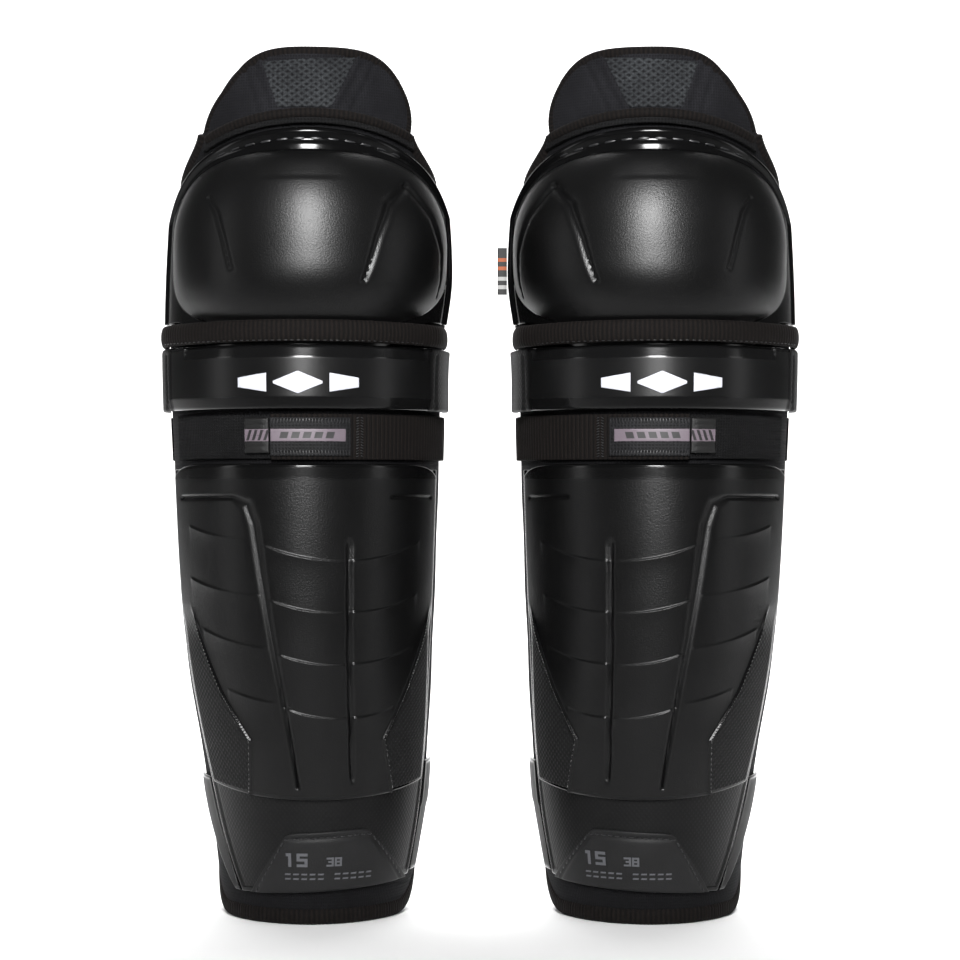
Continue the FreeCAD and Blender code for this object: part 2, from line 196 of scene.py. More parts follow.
def add(tree, kind, inputs=None, **fields):
    """Add one node, set its fields, and give each named input a value or a link from a socket."""
    node = tree.nodes.new("ShaderNode" + kind)
    for field, value in fields.items():
        setattr(node, field, value)
    for key, value in (inputs or {}).items():
        if isinstance(value, bpy.types.NodeSocket):
            tree.links.new(value, node.inputs[key])
        else:
            node.inputs[key].default_value = value
    return node


def new_material(name):
    """An empty node material and its tree."""
    material = bpy.data.materials.new(name)
    material.use_nodes = True
    material.node_tree.nodes.clear()
    return material, material.node_tree


def surface(tree, **inputs):
    """The material's one Principled shader, wired to its output."""
    names = {"color": "Base Color", "roughness": "Roughness", "normal": "Normal", "sheen": "Sheen Weight",
             "sheen_rough": "Sheen Roughness", "sheen_tint": "Sheen Tint", "specular": "Specular IOR Level"}
    shader = add(tree, "BsdfPrincipled", {names[k]: v for k, v in inputs.items()})
    add(tree, "OutputMaterial", {"Surface": shader.outputs[0]})


def cloth(name, dark, light, pitch, roughness, height, sheen=0.06, fuzz=0.35, turns=(0.0, np.pi / 2)):
    """Plain woven or knitted polyester: crossed thread waves one pitch apart (mm) and a soft mottle of fuzz."""
    material, tree = new_material(name)
    coord = add(tree, "TexCoord").outputs["UV"]
    scale = 1000.0 / pitch / 2
    waves = []
    for turn in turns:
        turned = add(tree, "Mapping", {"Vector": coord, "Rotation": (0, 0, turn)}).outputs[0]
        waves.append(add(tree, "TexWave", {"Vector": turned, "Scale": scale / np.pi, "Distortion": 0.6,
                                           "Detail": 1.0, "Detail Scale": 2.0}).outputs["Fac"])
    weave = add(tree, "Math", {0: waves[0], 1: waves[1]}, operation="MAXIMUM").outputs[0]
    body = add(tree, "TexCoord").outputs["Object"]
    hair = add(tree, "TexNoise", {"Vector": body, "Scale": 700.0, "Detail": 4.0}).outputs["Fac"]
    patch = add(tree, "TexNoise", {"Vector": body, "Scale": 45.0, "Detail": 3.0}).outputs["Fac"]
    tone = add(tree, "Math", {0: weave, 1: hair}, operation="MULTIPLY").outputs[0]
    tone = add(tree, "Math", {0: tone, 1: patch}, operation="MULTIPLY").outputs[0]
    shade = add(tree, "ValToRGB", {"Fac": tone})
    shade.color_ramp.elements[0].color = colour(dark)
    shade.color_ramp.elements[1].color = colour(light)
    shade.color_ramp.elements[1].position = 0.4
    relief = add(tree, "Math", {0: weave, 1: hair}, operation="ADD").outputs[0]
    bump = add(tree, "Bump", {"Height": relief, "Distance": height * 0.001, "Strength": 0.8}).outputs[0]
    surface(tree, color=shade.outputs[0], roughness=roughness, normal=bump, sheen=sheen, sheen_rough=fuzz,
            sheen_tint=colour("#8c8c92"), specular=0.12)
    return material


# the courses of the real jersey are about 0.6 mm apart; they are drawn at 0.9 mm so that they show
CARRIER_FABRIC = cloth("laminated_jersey", "#050506", "#121214", 0.9, 0.88, 0.25, sheen=0.03)
SHIN_TOP = 298.0
SHIN_TOP_BACK = 282.0


def shin_outline(share, low):
    """Outline of the shin foam: the wrap narrows to the foot, and the rim lifts towards the heel."""
    def place(s, t):
        phi = (2 * s - 1) * (116.0 - 14.0 * (1 - t) ** 2) * share
        bottom = low + 26.0 * np.clip((np.abs(phi) - 62.0) / 42.0, 0, 1) ** 2
        top = SHIN_TOP - (SHIN_TOP - SHIN_TOP_BACK) * ramp(np.abs(phi), 82.0, 114.0)
        return phi, bottom + t * (top - bottom)
    return place


def shin_face(phi, z):
    """Foam face: flat under the plate, and slightly puffed between the plate's edge and the binding."""
    return -0.1 - 0.5 * ramp(np.abs(np.abs(phi) - 92.0), 4.0, 16.0) + 0.15 * np.sin(z / 9.0)


carrier = shell(shin_outline(0.95, 6.0), lambda p, z: -7.0 + 0 * p, shin_face, (290, 290), (3, 3), 1.6)
both_legs("shin_foam_sheet", carrier, CARRIER_FABRIC, "shin", ["shin_carrier"])

KNEE_TOP = 440.0


def knee_wrap(z):
    """How far round the leg the knee foam reaches at a height, in degrees."""
    return 112.0 - 42.0 * ramp(z, 372.0, 412.0) - 16.5 * ramp(z, 412.0, KNEE_TOP)


def knee_outline(margin):
    """Outline of the knee foam, drawn in by a margin; its lower edge lifts by 22 mm at the back."""
    def place(s, t):
        side = 304.0 + t * (KNEE_TOP - 304.0)
        phi = (2 * s - 1) * (knee_wrap(side) - margin)
        bottom = 304.0 + 22.0 * ramp(np.abs(phi), 84.0, 112.0)
        return phi, bottom + t * (KNEE_TOP - bottom)
    return place


knee_sheet = shell(knee_outline(3.0), lambda p, z: -7.0 + 0 * p,
                   lambda p, z: -0.1 + 0.12 * np.sin(z / 7.0) * ramp(np.abs(p), 70, 80), (290, 136), (3, 3), 1.6)
both_legs("knee_foam_sheet", knee_sheet, CARRIER_FABRIC, "knee", ["knee_carrier"])


# ---- Lining ----
# A removable liner of soft foam in brushed polyester lies against the shin, quilted in channels so that air
# passes. The knee has its own pad, a thick foam cushion sewn round its edge.

LINING = cloth("brushed_lining", "#101113", "#2c2d31", 1.1, 0.92, 0.3, sheen=0.15)


def liner_outline(s, t):
    """Outline of the liner, a little inside the foam's edges."""
    phi = (2 * s - 1) * (94.0 - 8.0 * (1 - t) ** 2)
    bottom = 14.0 + 14.0 * ramp(np.abs(phi), 55.0, 94.0)
    return phi, bottom + t * (286.0 - bottom)


def liner_inside(phi, z):
    """Puffed rows 34 mm apart with a sewn channel down the middle and on each side."""
    rows = np.abs(np.sin(np.pi * (z - 14.0) / 34.0)) ** 0.45
    columns = np.ones_like(phi)
    for channel in (-46.0, 0.0, 46.0):
        columns *= 1 - np.exp(-((phi - channel) / 2.6) ** 2)
    return -10.4 - 3.2 * rows * columns


def lining(place, outer, inner, size, step, edge):
    """Quilted pad: the fine face looks at the leg, so the grid runs the other way round the leg."""
    s, t = spread(size[0], step[0], edge), spread(size[1], step[1], edge)
    across, up = np.meshgrid(s, t, indexing="ij")
    phi, z = place(across, up)
    reach = np.minimum(np.minimum(across, 1 - across) * size[0], np.minimum(up, 1 - up) * size[1])
    fall = edge - np.sqrt(np.maximum(0.0, edge**2 - np.clip(edge - reach, 0, edge) ** 2))
    high = outer(phi, z)
    low = inner(phi, z)
    low = low + fall * np.minimum(1.0, 0.8 * (high - low) / edge)
    near = skin(phi, z, low).reshape(-1, 3)
    far = skin(phi, z, high).reshape(-1, 3)
    front = np.arange(phi.size).reshape(phi.shape)
    rear = front + phi.size
    faces = [np.stack([front[:-1, :-1], front[:-1, 1:], front[1:, 1:], front[1:, :-1]], -1).reshape(-1, 4),
             np.stack([rear[:-1, :-1], rear[1:, :-1], rear[1:, 1:], rear[:-1, 1:]], -1).reshape(-1, 4)]
    for a, b in ((front[:, 0], rear[:, 0]), (rear[:, -1], front[:, -1]), (rear[0], front[0]), (front[-1], rear[-1])):
        faces.append(np.stack([a[:-1], a[1:], b[1:], b[:-1]], -1))
    uv = np.stack([phi * ARC, z], -1).reshape(-1, 2) * 0.001
    return {"points": np.concatenate([near, far]), "faces": faces, "uv": np.concatenate([uv, uv])}


liner = lining(liner_outline, lambda p, z: -8.3 + 0 * p, liner_inside, (220, 270), (2.4, 2.4), 2.5)
both_legs("quilted_liner", liner, LINING, "shin", ["shin_liner"])


def pad_outline(s, t):
    """Outline of the knee pad: widest in the middle."""
    reach = 58.0 - 22.0 * (2 * t - 1) ** 4
    return (2 * s - 1) * reach, 322.0 + 108.0 * t


def swell(obj):
    """Cloth under pressure: the pad is remeshed, blown up for 20 frames, held to 2.2 mm, then applied."""
    bpy.context.view_layer.objects.active = obj
    remesh = obj.modifiers.new("voxels", "REMESH")
    remesh.mode = "VOXEL"
    remesh.voxel_size = 0.0018
    bpy.ops.object.modifier_apply(modifier=remesh.name)
    count = len(obj.data.vertices)
    start = np.empty(count * 3, np.float32)
    obj.data.vertices.foreach_get("co", start)
    puff = obj.modifiers.new("puff", "CLOTH")
    puff.settings.use_pressure = True
    puff.settings.uniform_pressure_force = 4.0
    puff.settings.effector_weights.gravity = 0.0
    puff.point_cache.frame_start = 1
    puff.point_cache.frame_end = 20
    for step in range(1, 21):
        bpy.context.scene.frame_set(step)
    shown = obj.evaluated_get(bpy.context.evaluated_depsgraph_get()).to_mesh()
    end = np.empty(count * 3, np.float32)
    shown.vertices.foreach_get("co", end)
    obj.modifiers.remove(puff)
    move = (end - start).reshape(-1, 3)
    far = np.linalg.norm(move, axis=1, keepdims=True)
    move *= np.minimum(1.0, 0.0022 / np.maximum(far, 1e-9))
    obj.data.vertices.foreach_set("co", (start.reshape(-1, 3) + move).ravel())
    loops = np.empty(len(obj.data.loops), np.int32)
    obj.data.loops.foreach_get("vertex_index", loops)
    flat = start.reshape(-1, 3)[loops][:, [0, 2]]
    obj.data.uv_layers.new(name="cloth").data.foreach_set("uv", flat.ravel())
    obj.data.update()
    obj.data.shade_smooth()
    bpy.context.scene.frame_set(1)
    smooth = obj.modifiers.new("rounding", "SUBSURF")
    smooth.levels = smooth.render_levels = 1


knee_pad = lining(pad_outline, lambda p, z: -9.4 + 0 * p, lambda p, z: -14.0 + 0 * p, (130, 108), (4, 4), 2.4)
both_legs("knee_cushion", knee_pad, LINING, "knee", ["knee_pad"], soften=swell)


# ---- Binding tapes ----
# Every raw edge of the foam is closed with a 9 mm ribbed grosgrain tape, folded over it and sewn through. The
# tape on the shin runs down one back edge, round the rim that the guard stands on, and up the other.

def ribbed_tape(name, pitch):
    """Grosgrain: warm black polyester with ribs one pitch apart (mm) across the tape and a faint fibre."""
    material, tree = new_material(name)
    coord = add(tree, "TexCoord").outputs["UV"]
    wave = add(tree, "TexWave", {"Vector": coord, "Scale": 1000.0 / pitch / 2 / np.pi, "Distortion": 0.3})
    fibre = add(tree, "TexNoise", {"Vector": add(tree, "TexCoord").outputs["Object"], "Scale": 900.0,
                                   "Detail": 3.0}).outputs["Fac"]
    tone = add(tree, "Math", {0: wave.outputs["Fac"], 1: fibre}, operation="MULTIPLY").outputs[0]
    shade = add(tree, "ValToRGB", {"Fac": tone})
    shade.color_ramp.elements[0].color = colour("#050404")
    shade.color_ramp.elements[1].color = colour("#120e0c")
    shade.color_ramp.elements[1].position = 0.6
    bump = add(tree, "Bump", {"Height": tone, "Distance": 0.0003, "Strength": 0.8}).outputs[0]
    surface(tree, color=shade.outputs[0], roughness=0.85, normal=bump, sheen=0.03, sheen_rough=0.4,
            sheen_tint=colour("#8c8682"), specular=0.12)
    return material


# ribs of the real tape are 0.7 mm apart; they are drawn at 1.3 mm so that they show
TAPE = ribbed_tape("grosgrain_tape", 1.3)


def tape(path, half_wide, half_thick, rib=0.0, pitch=2.0, square=0.7, around=14, taper=1.5):
    """Flattened tube along a path(phi, z, rise): a superellipse ring, across the tape by half_wide and off the
    skin by half_thick, with ribs of a height and pitch along it and its last millimetres drawn in round."""
    phi, z, rise = path
    middle = skin(phi, z, rise)
    ahead = np.gradient(middle, axis=0)
    ahead /= np.linalg.norm(ahead, axis=1, keepdims=True)
    out = skin(phi, z, np.asarray(rise) + 1.0) - middle
    out -= ahead * np.sum(out * ahead, axis=1, keepdims=True)
    out /= np.linalg.norm(out, axis=1, keepdims=True)
    wide = np.cross(out, ahead)
    length = np.concatenate([[0.0], np.cumsum(np.linalg.norm(np.diff(middle, axis=0), axis=1))]) * 1000
    ends = np.clip(np.minimum(length, length[-1] - length) / taper, 0, 1)
    draw = np.maximum(0.05, np.sqrt(1 - (1 - ends) ** 2))
    ridge = rib * (0.5 + 0.5 * np.cos(2 * np.pi * length / pitch))
    angle = np.arange(around) * 2 * np.pi / around
    c = np.sign(np.cos(angle)) * np.abs(np.cos(angle)) ** square
    s = np.sign(np.sin(angle)) * np.abs(np.sin(angle)) ** square
    a = ((half_wide + ridge) * draw)[:, None] * c * 0.001
    b = ((half_thick + ridge) * draw)[:, None] * s * 0.001
    points = (middle[:, None] + a[..., None] * wide[:, None] + b[..., None] * out[:, None]).reshape(-1, 3)
    ring = np.arange(len(phi) * around).reshape(len(phi), around)
    next_ring = np.roll(ring, -1, axis=1)
    side = np.stack([ring[:-1], next_ring[:-1], next_ring[1:], ring[1:]], -1).reshape(-1, 4)
    uv = np.stack(np.broadcast_arrays(length[:, None] * 0.001, angle[None] * 0.002), -1).reshape(-1, 2)
    return {"points": points, "faces": [side, ring[0][::-1][None], ring[-1][None]], "uv": uv}


def outline_path(phi, z, step, inset, rounding):
    """A polyline in phi and z, evenly stepped in mm, its corners eased over a rounding length, then drawn
    inwards by an inset to its left."""
    x, y = phi * ARC, z
    length = np.concatenate([[0.0], np.cumsum(np.hypot(np.diff(x), np.diff(y)))])
    even = np.arange(0.0, length[-1], step)
    x, y = np.interp(even, length, x), np.interp(even, length, y)
    reach = max(1, int(rounding / step))
    window = np.hanning(2 * reach + 1)
    window /= window.sum()
    x = np.convolve(np.pad(x, reach, mode="reflect", reflect_type="odd"), window, mode="valid")
    y = np.convolve(np.pad(y, reach, mode="reflect", reflect_type="odd"), window, mode="valid")
    dx, dy = np.gradient(x), np.gradient(y)
    size = np.hypot(dx, dy)
    return (x - inset * dy / size) / ARC, y + inset * dx / size


run = np.linspace(0, 1, 160)
outer = shin_outline(1.0, 0.4)
parts = [outer(0 * run, 1 - run), outer(run, 0 * run), outer(0 * run + 1, run)]
rim_phi, rim_z = outline_path(np.concatenate([p for p, _ in parts]), np.concatenate([z for _, z in parts]),
                              0.5, 4.4, 9.0)
shin_tape = tape((rim_phi, rim_z, -3.2 + 0 * rim_phi), 4.5, 4.1, rib=0.22, pitch=2.0, square=0.55)
shin_tape["points"][:, 2] = np.maximum(shin_tape["points"][:, 2], 0.0)
both_legs("rim_tape", shin_tape, TAPE, "shin", ["shin_binding"], sharp=70)

outer = knee_outline(0.0)
tapes = []
for end in (0, 1):
    edge_phi, edge_z = outer(0 * run + end, run if end else 1 - run)
    edge_phi, edge_z = outline_path(edge_phi, edge_z, 0.5, 4.2, 5.0)
    tapes.append(tape((edge_phi, edge_z, -3.2 + 0 * edge_phi), 4.0, 4.1, rib=0.22, pitch=2.0, square=0.55))


def join(forms):
    """Several closed meshes as one."""
    offset = np.concatenate([[0], np.cumsum([len(f["points"]) for f in forms])])
    faces = [f + start for form, start in zip(forms, offset) for f in form["faces"]]
    return {"points": np.concatenate([f["points"] for f in forms]), "faces": faces,
            "uv": np.concatenate([f["uv"] for f in forms])}


both_legs("knee_edge_tape", join(tapes), TAPE, "knee", ["knee_binding"], sharp=70)


# ---- Sewing thread ----
# Bonded black polyester, about 0.6 mm thick, in short straight stitches that lie proud of the seam.

def thread_finish():
    """Bonded thread: smooth black polyester with a low silky shine and a fine twist."""
    material, tree = new_material("bonded_thread")
    coord = add(tree, "TexCoord").outputs["Object"]
    twist = add(tree, "TexWave", {"Vector": coord, "Scale": 500.0, "Distortion": 1.0}).outputs["Fac"]
    shade = add(tree, "ValToRGB", {"Fac": twist})
    shade.color_ramp.elements[0].color = colour("#0c0c0d")
    shade.color_ramp.elements[1].color = colour("#1d1d1f")
    surface(tree, color=shade.outputs[0], roughness=0.45)
    return material


THREAD = thread_finish()


def stitches(phi, z, rise, turn, length, thick):
    """Closed spindles, one for each place: six sides, five rings, laid along a turn (degrees from round the
    leg) on the skin at a rise."""
    phi, z, rise, turn = np.broadcast_arrays(*[np.asarray(v, float) for v in (phi, z, rise, turn)])
    middle = skin(phi, z, rise)
    side = skin(phi + 0.5, z, rise) - skin(phi - 0.5, z, rise)
    side /= np.linalg.norm(side, axis=1, keepdims=True)
    up = skin(phi, z + 0.5, rise) - skin(phi, z - 0.5, rise)
    up /= np.linalg.norm(up, axis=1, keepdims=True)
    angle = np.radians(turn)[:, None]
    along = side * np.cos(angle) + up * np.sin(angle)
    out = np.cross(side, up)
    wide = np.cross(out, along)
    place = np.array([-1.0, -0.8, 0.0, 0.8, 1.0]) * length / 2000
    girth = np.array([0.15, 0.75, 1.0, 0.75, 0.15]) * thick / 2000
    a = np.arange(6) * np.pi / 3
    points = (middle[:, None, None] + along[:, None, None] * place[None, :, None, None]
              + wide[:, None, None] * (girth[:, None] * np.cos(a))[None, ..., None]
              + out[:, None, None] * (girth[:, None] * np.sin(a))[None, ..., None])
    ring = np.arange(points[..., 0].size).reshape(len(middle), 5, 6)
    after = np.roll(ring, -1, axis=2)
    walls = np.stack([ring[:, :-1], after[:, :-1], after[:, 1:], ring[:, 1:]], -1).reshape(-1, 4)
    return {"points": points.reshape(-1, 3), "faces": [walls, ring[:, 0, ::-1], ring[:, -1]],
            "uv": np.zeros((ring.size, 2))}


# ---- Base plate ----
# A 1.3 mm polyethylene plate, vacuum-formed with a fine woven grain, is sewn to the foam under the shin cap. It
# shows at the instep, as two side borders, and each border ends in a smooth raised bead.

def grained_plastic(name, dark, light, rough, pitch, depth):
    """Moulded polyethylene with a small woven grain one pitch apart (mm); where "gloss" is 1 it is smooth."""
    material, tree = new_material(name)
    coord = add(tree, "TexCoord").outputs["UV"]
    bumps = []
    for turn in (np.pi / 4, -np.pi / 4):
        turned = add(tree, "Mapping", {"Vector": coord, "Rotation": (0, 0, turn)}).outputs[0]
        bumps.append(add(tree, "TexWave", {"Vector": turned, "Scale": 1000.0 / pitch / 2 / np.pi}).outputs["Fac"])
    weave = add(tree, "Math", {0: bumps[0], 1: bumps[1]}, operation="MULTIPLY").outputs[0]
    gloss = add(tree, "Attribute", attribute_name="gloss").outputs["Fac"]
    left = add(tree, "Math", {0: 1.0, 1: gloss}, operation="SUBTRACT").outputs[0]
    height = add(tree, "Math", {0: weave, 1: left}, operation="MULTIPLY").outputs[0]
    shade = add(tree, "ValToRGB", {"Fac": height})
    shade.color_ramp.elements[0].color = colour(dark)
    shade.color_ramp.elements[1].color = colour(light)
    bump = add(tree, "Bump", {"Height": height, "Distance": depth * 0.001, "Strength": 0.7}).outputs[0]
    level = add(tree, "MapRange", {"Value": gloss, "To Min": rough, "To Max": 0.16}).outputs[0]
    surface(tree, color=shade.outputs[0], roughness=level, normal=bump, specular=0.17)
    return material


GRAINED = grained_plastic("woven_grain_polyethylene", "#060606", "#101011", 0.46, 1.15, 0.13)
PLATE_FOOT = 16.5


def plate_edge(z):
    """Angles of the plate's two side edges: they open quickly above the foot, as 1 - e^(-height/57)."""
    share = 1 - np.exp(-(z - PLATE_FOOT) / 57.0)
    return -42.5 - 28.0 * share, 66.0 + 8.5 * share


def plate_outline(s, t):
    """Outline of the base plate; its foot runs up a little towards the inner side."""
    foot = PLATE_FOOT + 6.5 * s
    z = foot + t * (252.0 - foot)
    lateral, medial = plate_edge(z)
    return lateral + s * (medial - lateral), z


def edge_bead(reach, at, width):
    """A rounded bead at a distance from the edge: a bell one width wide."""
    return np.exp(-((reach - at) / width) ** 2)


def side_reach(phi, z):
    """Distance in mm from the plate's nearer side edge."""
    lateral, medial = plate_edge(z)
    return np.minimum(phi - lateral, medial - phi) * ARC * 0.85


def plate_face(phi, z):
    """Plate face with a 0.6 mm bead along each side and the foot."""
    foot = z - PLATE_FOOT - 6.5 * ramp(phi, -42.0, 68.0)
    reach = np.minimum(side_reach(phi, z), foot)
    return 1.8 + 0.65 * edge_bead(reach, 1.7, 1.1) - 0.35 * edge_bead(reach, 4.4, 1.0)


plate = shell(plate_outline, lambda p, z: 0.5 + 0 * p, plate_face, (180, 235), (1.6, 1.6), 1.2)
both_legs("base_plate_shell", plate, GRAINED, "shin", ["base_plate"],
          marks={"gloss": ramp(-plate["reach"], -4.5, -3.2)})


# ---- Shin cap ----
# The hard cap over the shin is injection-moulded polyethylene, 2.8 mm thick, with a satin spark finish. Two
# grooves part it into three columns, raised ledges cross them like overlapping plates, and two sharp keels
# near the foot part the satin middle from the grained sides.

def moulded_plastic(name, dark, light, satin, grain, depth):
    """Satin-moulded polyethylene: near-black, an even fine pebble (grain in mm), smooth where "gloss" is 1 and
    a small woven grain where "weave" is 1."""
    material, tree = new_material(name)
    body = add(tree, "TexCoord").outputs["Object"]
    pebble = add(tree, "TexNoise", {"Vector": body, "Scale": 1000.0 / grain, "Detail": 3.0,
                                    "Roughness": 0.6}).outputs["Fac"]
    cloud = add(tree, "TexNoise", {"Vector": body, "Scale": 28.0, "Detail": 3.0}).outputs["Fac"]
    gloss = add(tree, "Attribute", attribute_name="gloss").outputs["Fac"]
    woven = add(tree, "Attribute", attribute_name="weave").outputs["Fac"]
    coord = add(tree, "TexCoord").outputs["UV"]
    threads = []
    for turn in (np.pi / 4, -np.pi / 4):
        turned = add(tree, "Mapping", {"Vector": coord, "Rotation": (0, 0, turn)}).outputs[0]
        threads.append(add(tree, "TexWave", {"Vector": turned, "Scale": 1000.0 / 1.15 / 2 / np.pi}).outputs["Fac"])
    grid = add(tree, "Math", {0: threads[0], 1: threads[1]}, operation="MULTIPLY").outputs[0]
    grid = add(tree, "Math", {0: grid, 1: woven}, operation="MULTIPLY").outputs[0]
    rest = add(tree, "Math", {0: 1.0, 1: gloss}, operation="SUBTRACT").outputs[0]
    fine = add(tree, "Math", {0: pebble, 1: rest}, operation="MULTIPLY").outputs[0]
    height = add(tree, "Math", {0: fine, 1: 0.35, 2: grid}, operation="MULTIPLY_ADD").outputs[0]
    faint = add(tree, "Math", {0: grid, 1: 0.35}, operation="MULTIPLY").outputs[0]
    tone = add(tree, "Math", {0: cloud, 1: 0.5, 2: faint}, operation="MULTIPLY_ADD").outputs[0]
    shade = add(tree, "ValToRGB", {"Fac": tone})
    shade.color_ramp.elements[0].color = colour(dark)
    shade.color_ramp.elements[1].color = colour(light)
    bump = add(tree, "Bump", {"Height": height, "Distance": depth * 0.001, "Strength": 1.0}).outputs[0]
    wear = add(tree, "Math", {0: cloud, 1: 0.08, 2: satin - 0.04}, operation="MULTIPLY_ADD").outputs[0]
    satin_level = add(tree, "MapRange", {"Value": gloss, "To Min": wear, "To Max": 0.14}).outputs[0]
    level = add(tree, "Math", {0: woven, 1: 0.35, 2: satin_level}, operation="MULTIPLY_ADD").outputs[0]
    surface(tree, color=shade.outputs[0], roughness=level, normal=bump, specular=0.24)
    return material


# the spark finish of the real caps is 0.4 mm; it is drawn at 0.9 mm so that it shows
CAP_PLASTIC = moulded_plastic("satin_polyethylene", "#050505", "#0b0b0c", 0.33, 0.9, 0.3)


def stroke(phi, z, points):
    """Bell-shaped ridge along a line of (phi, z, half width in mm): 1 on the line, e^-1 a half width off."""
    best = np.zeros(np.shape(phi))
    for (p0, z0, w0), (p1, z1, w1) in zip(points[:-1], points[1:]):
        ax, az = (p1 - p0) * ARC, z1 - z0
        dx, dz = (phi - p0) * ARC, z - z0
        share = np.clip((dx * ax + dz * az) / (ax**2 + az**2), 0, 1)
        gap = (dx - share * ax) ** 2 + (dz - share * az) ** 2
        best = np.maximum(best, np.exp(-gap / (w0 + (w1 - w0) * share) ** 2))
    return best


RIBS = (  # from phi, z to phi, z, how far the middle hangs, mm
    (-52.0, 221.0, -20.0, 214.0, 1.5), (-52.6, 192.0, -15.5, 183.0, 1.5), (-45.6, 164.0, -13.0, 154.5, 1.5),
    (-34.5, 131.5, -11.3, 124.4, 1.0),
    (-14.5, 211.0, 20.4, 202.0, 2.6), (-12.4, 181.0, 20.4, 174.0, 2.6), (-10.8, 152.0, 20.4, 145.5, 2.6),
    (-9.0, 122.0, 20.4, 116.0, 2.4),
    (20.9, 202.0, 56.0, 212.5, 2.4), (20.9, 174.0, 55.0, 183.0, 2.4), (20.9, 145.5, 53.0, 154.0, 2.0),
    (20.9, 116.0, 42.0, 121.0, 1.4),
)
KEEL_Z = [60.0, 78.0, 103.0, 130.0, 152.0, 176.0]
LATERAL_KEEL = [-31.0, -28.8, -26.5, -39.0, -46.0, -54.0]
MEDIAL_KEEL = [44.0, 41.6, 37.0, 49.5, 58.0, 66.0]


def cap_ledges(phi, z):
    """Ledges that face up: proud by up to 0.9 mm just under each rib's line, fading over 11 mm below it.
    Each hangs as a parabola between its ends and is highest a third of the way in."""
    rise = np.zeros(np.shape(phi))
    for p0, z0, p1, z1, hang in RIBS:
        q = (phi - p0) / (p1 - p0)
        line = z0 + (z1 - z0) * q - 4 * hang * q * (1 - q)
        inside = ramp(q, -0.01, 0.05) * (1 - ramp(q, 0.94, 1.01))
        weight = 0.35 + 0.65 * np.exp(-((q - 0.36) / 0.3) ** 2)
        below = line - z
        step = ramp(below, -0.6, 0.5) * np.exp(-np.maximum(below, 0) / 5.5)
        rise += 0.95 * step * weight * inside
    return rise


def keel_side(phi, z):
    """Signed distances in mm to the lateral and medial keels: positive on the satin middle."""
    lateral = (phi - np.interp(z, KEEL_Z, LATERAL_KEEL)) * ARC * 0.85
    medial = (np.interp(z, KEEL_Z, MEDIAL_KEEL) - phi) * ARC * 0.85
    return lateral, medial


def cap_face(phi, z):
    """Face of the shin cap: ledges, keels, two grooves and two short corner grooves."""
    rise = 4.9 + cap_ledges(phi, z)
    lateral, medial = keel_side(phi, z)
    low = 1 - ramp(z, 158.0, 178.0)
    for gap in (lateral, medial):
        inner = np.exp(-np.maximum(gap, 0) / 6.0) * ramp(gap, -0.6, 0.3)
        outer = np.exp(-np.maximum(-gap, 0) / 25.0) * (1 - ramp(gap, -1.3, 0.0))
        rise += low * (0.9 * inner + 1.1 * np.exp(-((gap - 0.9) / 0.8) ** 2) - 1.9 * outer)
    rise -= 1.6 * stroke(phi, z, [(-57.0, 236.0, 0.9), (-27.0, 236.5, 1.2), (-20.5, 233.0, 2.4),
                                  (-17.5, 222.0, 2.6), (-10.0, 146.0, 1.7), (-4.5, 78.0, 1.0)])
    wave = 1.15 + 0.55 * np.abs(np.sin(np.pi * (z - 81.0) / 28.7))
    along = ramp(z, 78.0, 84.0) * (1 - ramp(z, 209.0, 216.0))
    gap = (phi - 20.6) * ARC
    rise -= 1.6 * along * np.exp(-((gap - 0.3) / wave) ** 2)
    rise -= 0.9 * stroke(phi, z, [(40.0, 236.5, 0.9), (63.0, 236.0, 0.9)])
    return rise


def cap_outline(s, t):
    """Outline of the shin cap: 5.5 degrees inside the plate, its lower edge drooping in the middle, its
    corners rounded."""
    corner = 7.0 * np.abs(2 * s - 1) ** 10
    foot = 70.0 + 7.0 * (2 * s - 1) ** 2
    z = foot + t * (255.0 - corner - foot)
    lateral, medial = plate_edge(z)
    return lateral + 5.5 + s * (medial - lateral - 11.0), z


shin_cap = shell(cap_outline, lambda p, z: 2.1 + 0 * p, cap_face, (232, 242), (1.0, 0.6), 1.9, back=(60, 60))
phi, z = shin_cap["at"]
reach = shin_cap["reach"]
cap_top = ramp(z, 244.5, 248.5)
lateral, medial = keel_side(phi, z)
side = np.maximum(1 - ramp(lateral, -0.8, -0.2), 1 - ramp(medial, -0.8, -0.2)) * (1 - ramp(z, 150.0, 176.0))
keel_gloss = np.maximum(np.exp(-((lateral - 0.9) / 1.1) ** 2), np.exp(-((medial - 0.9) / 1.1) ** 2))
keel_gloss *= 1 - ramp(z, 160.0, 178.0)
gloss = np.maximum.reduce([keel_gloss, 1 - ramp(reach, 2.4, 3.4), 0.5 * cap_top])
both_legs("shin_cap_shell", shin_cap, CAP_PLASTIC, "shin", ["shin_cap"],
          marks={"gloss": gloss, "weave": side * (1 - gloss)}, sharp=40)


# ---- Wings ----
# Two smooth moulded guards are riveted behind the foot of the plate, one each side, where the skate's tongue
# would rub. The inner one has a seam across it.

def lateral_wing(s, t):
    """Runs down and inwards behind the plate's outer edge to a narrow, rounded foot."""
    z = 17.0 + t * 62.0
    return plate_edge(z)[0] - 1.0 - s * (4.0 + 20.0 * t * (1.25 - 0.25 * t)), z


def medial_wing(s, t):
    """Runs down behind the plate's inner edge."""
    z = 25.0 + t * 62.0
    return plate_edge(z)[1] + 1.0 + s * (10.0 + 12.0 * t), z


def wing_face(phi, z):
    """Face of a wing: a shallow step at 62 mm and a slight crown."""
    return 2.0 + 0.5 * ramp(z, 61.4, 62.4) * (phi > 0) + 0.3 * np.sin(z / 14.0) ** 2


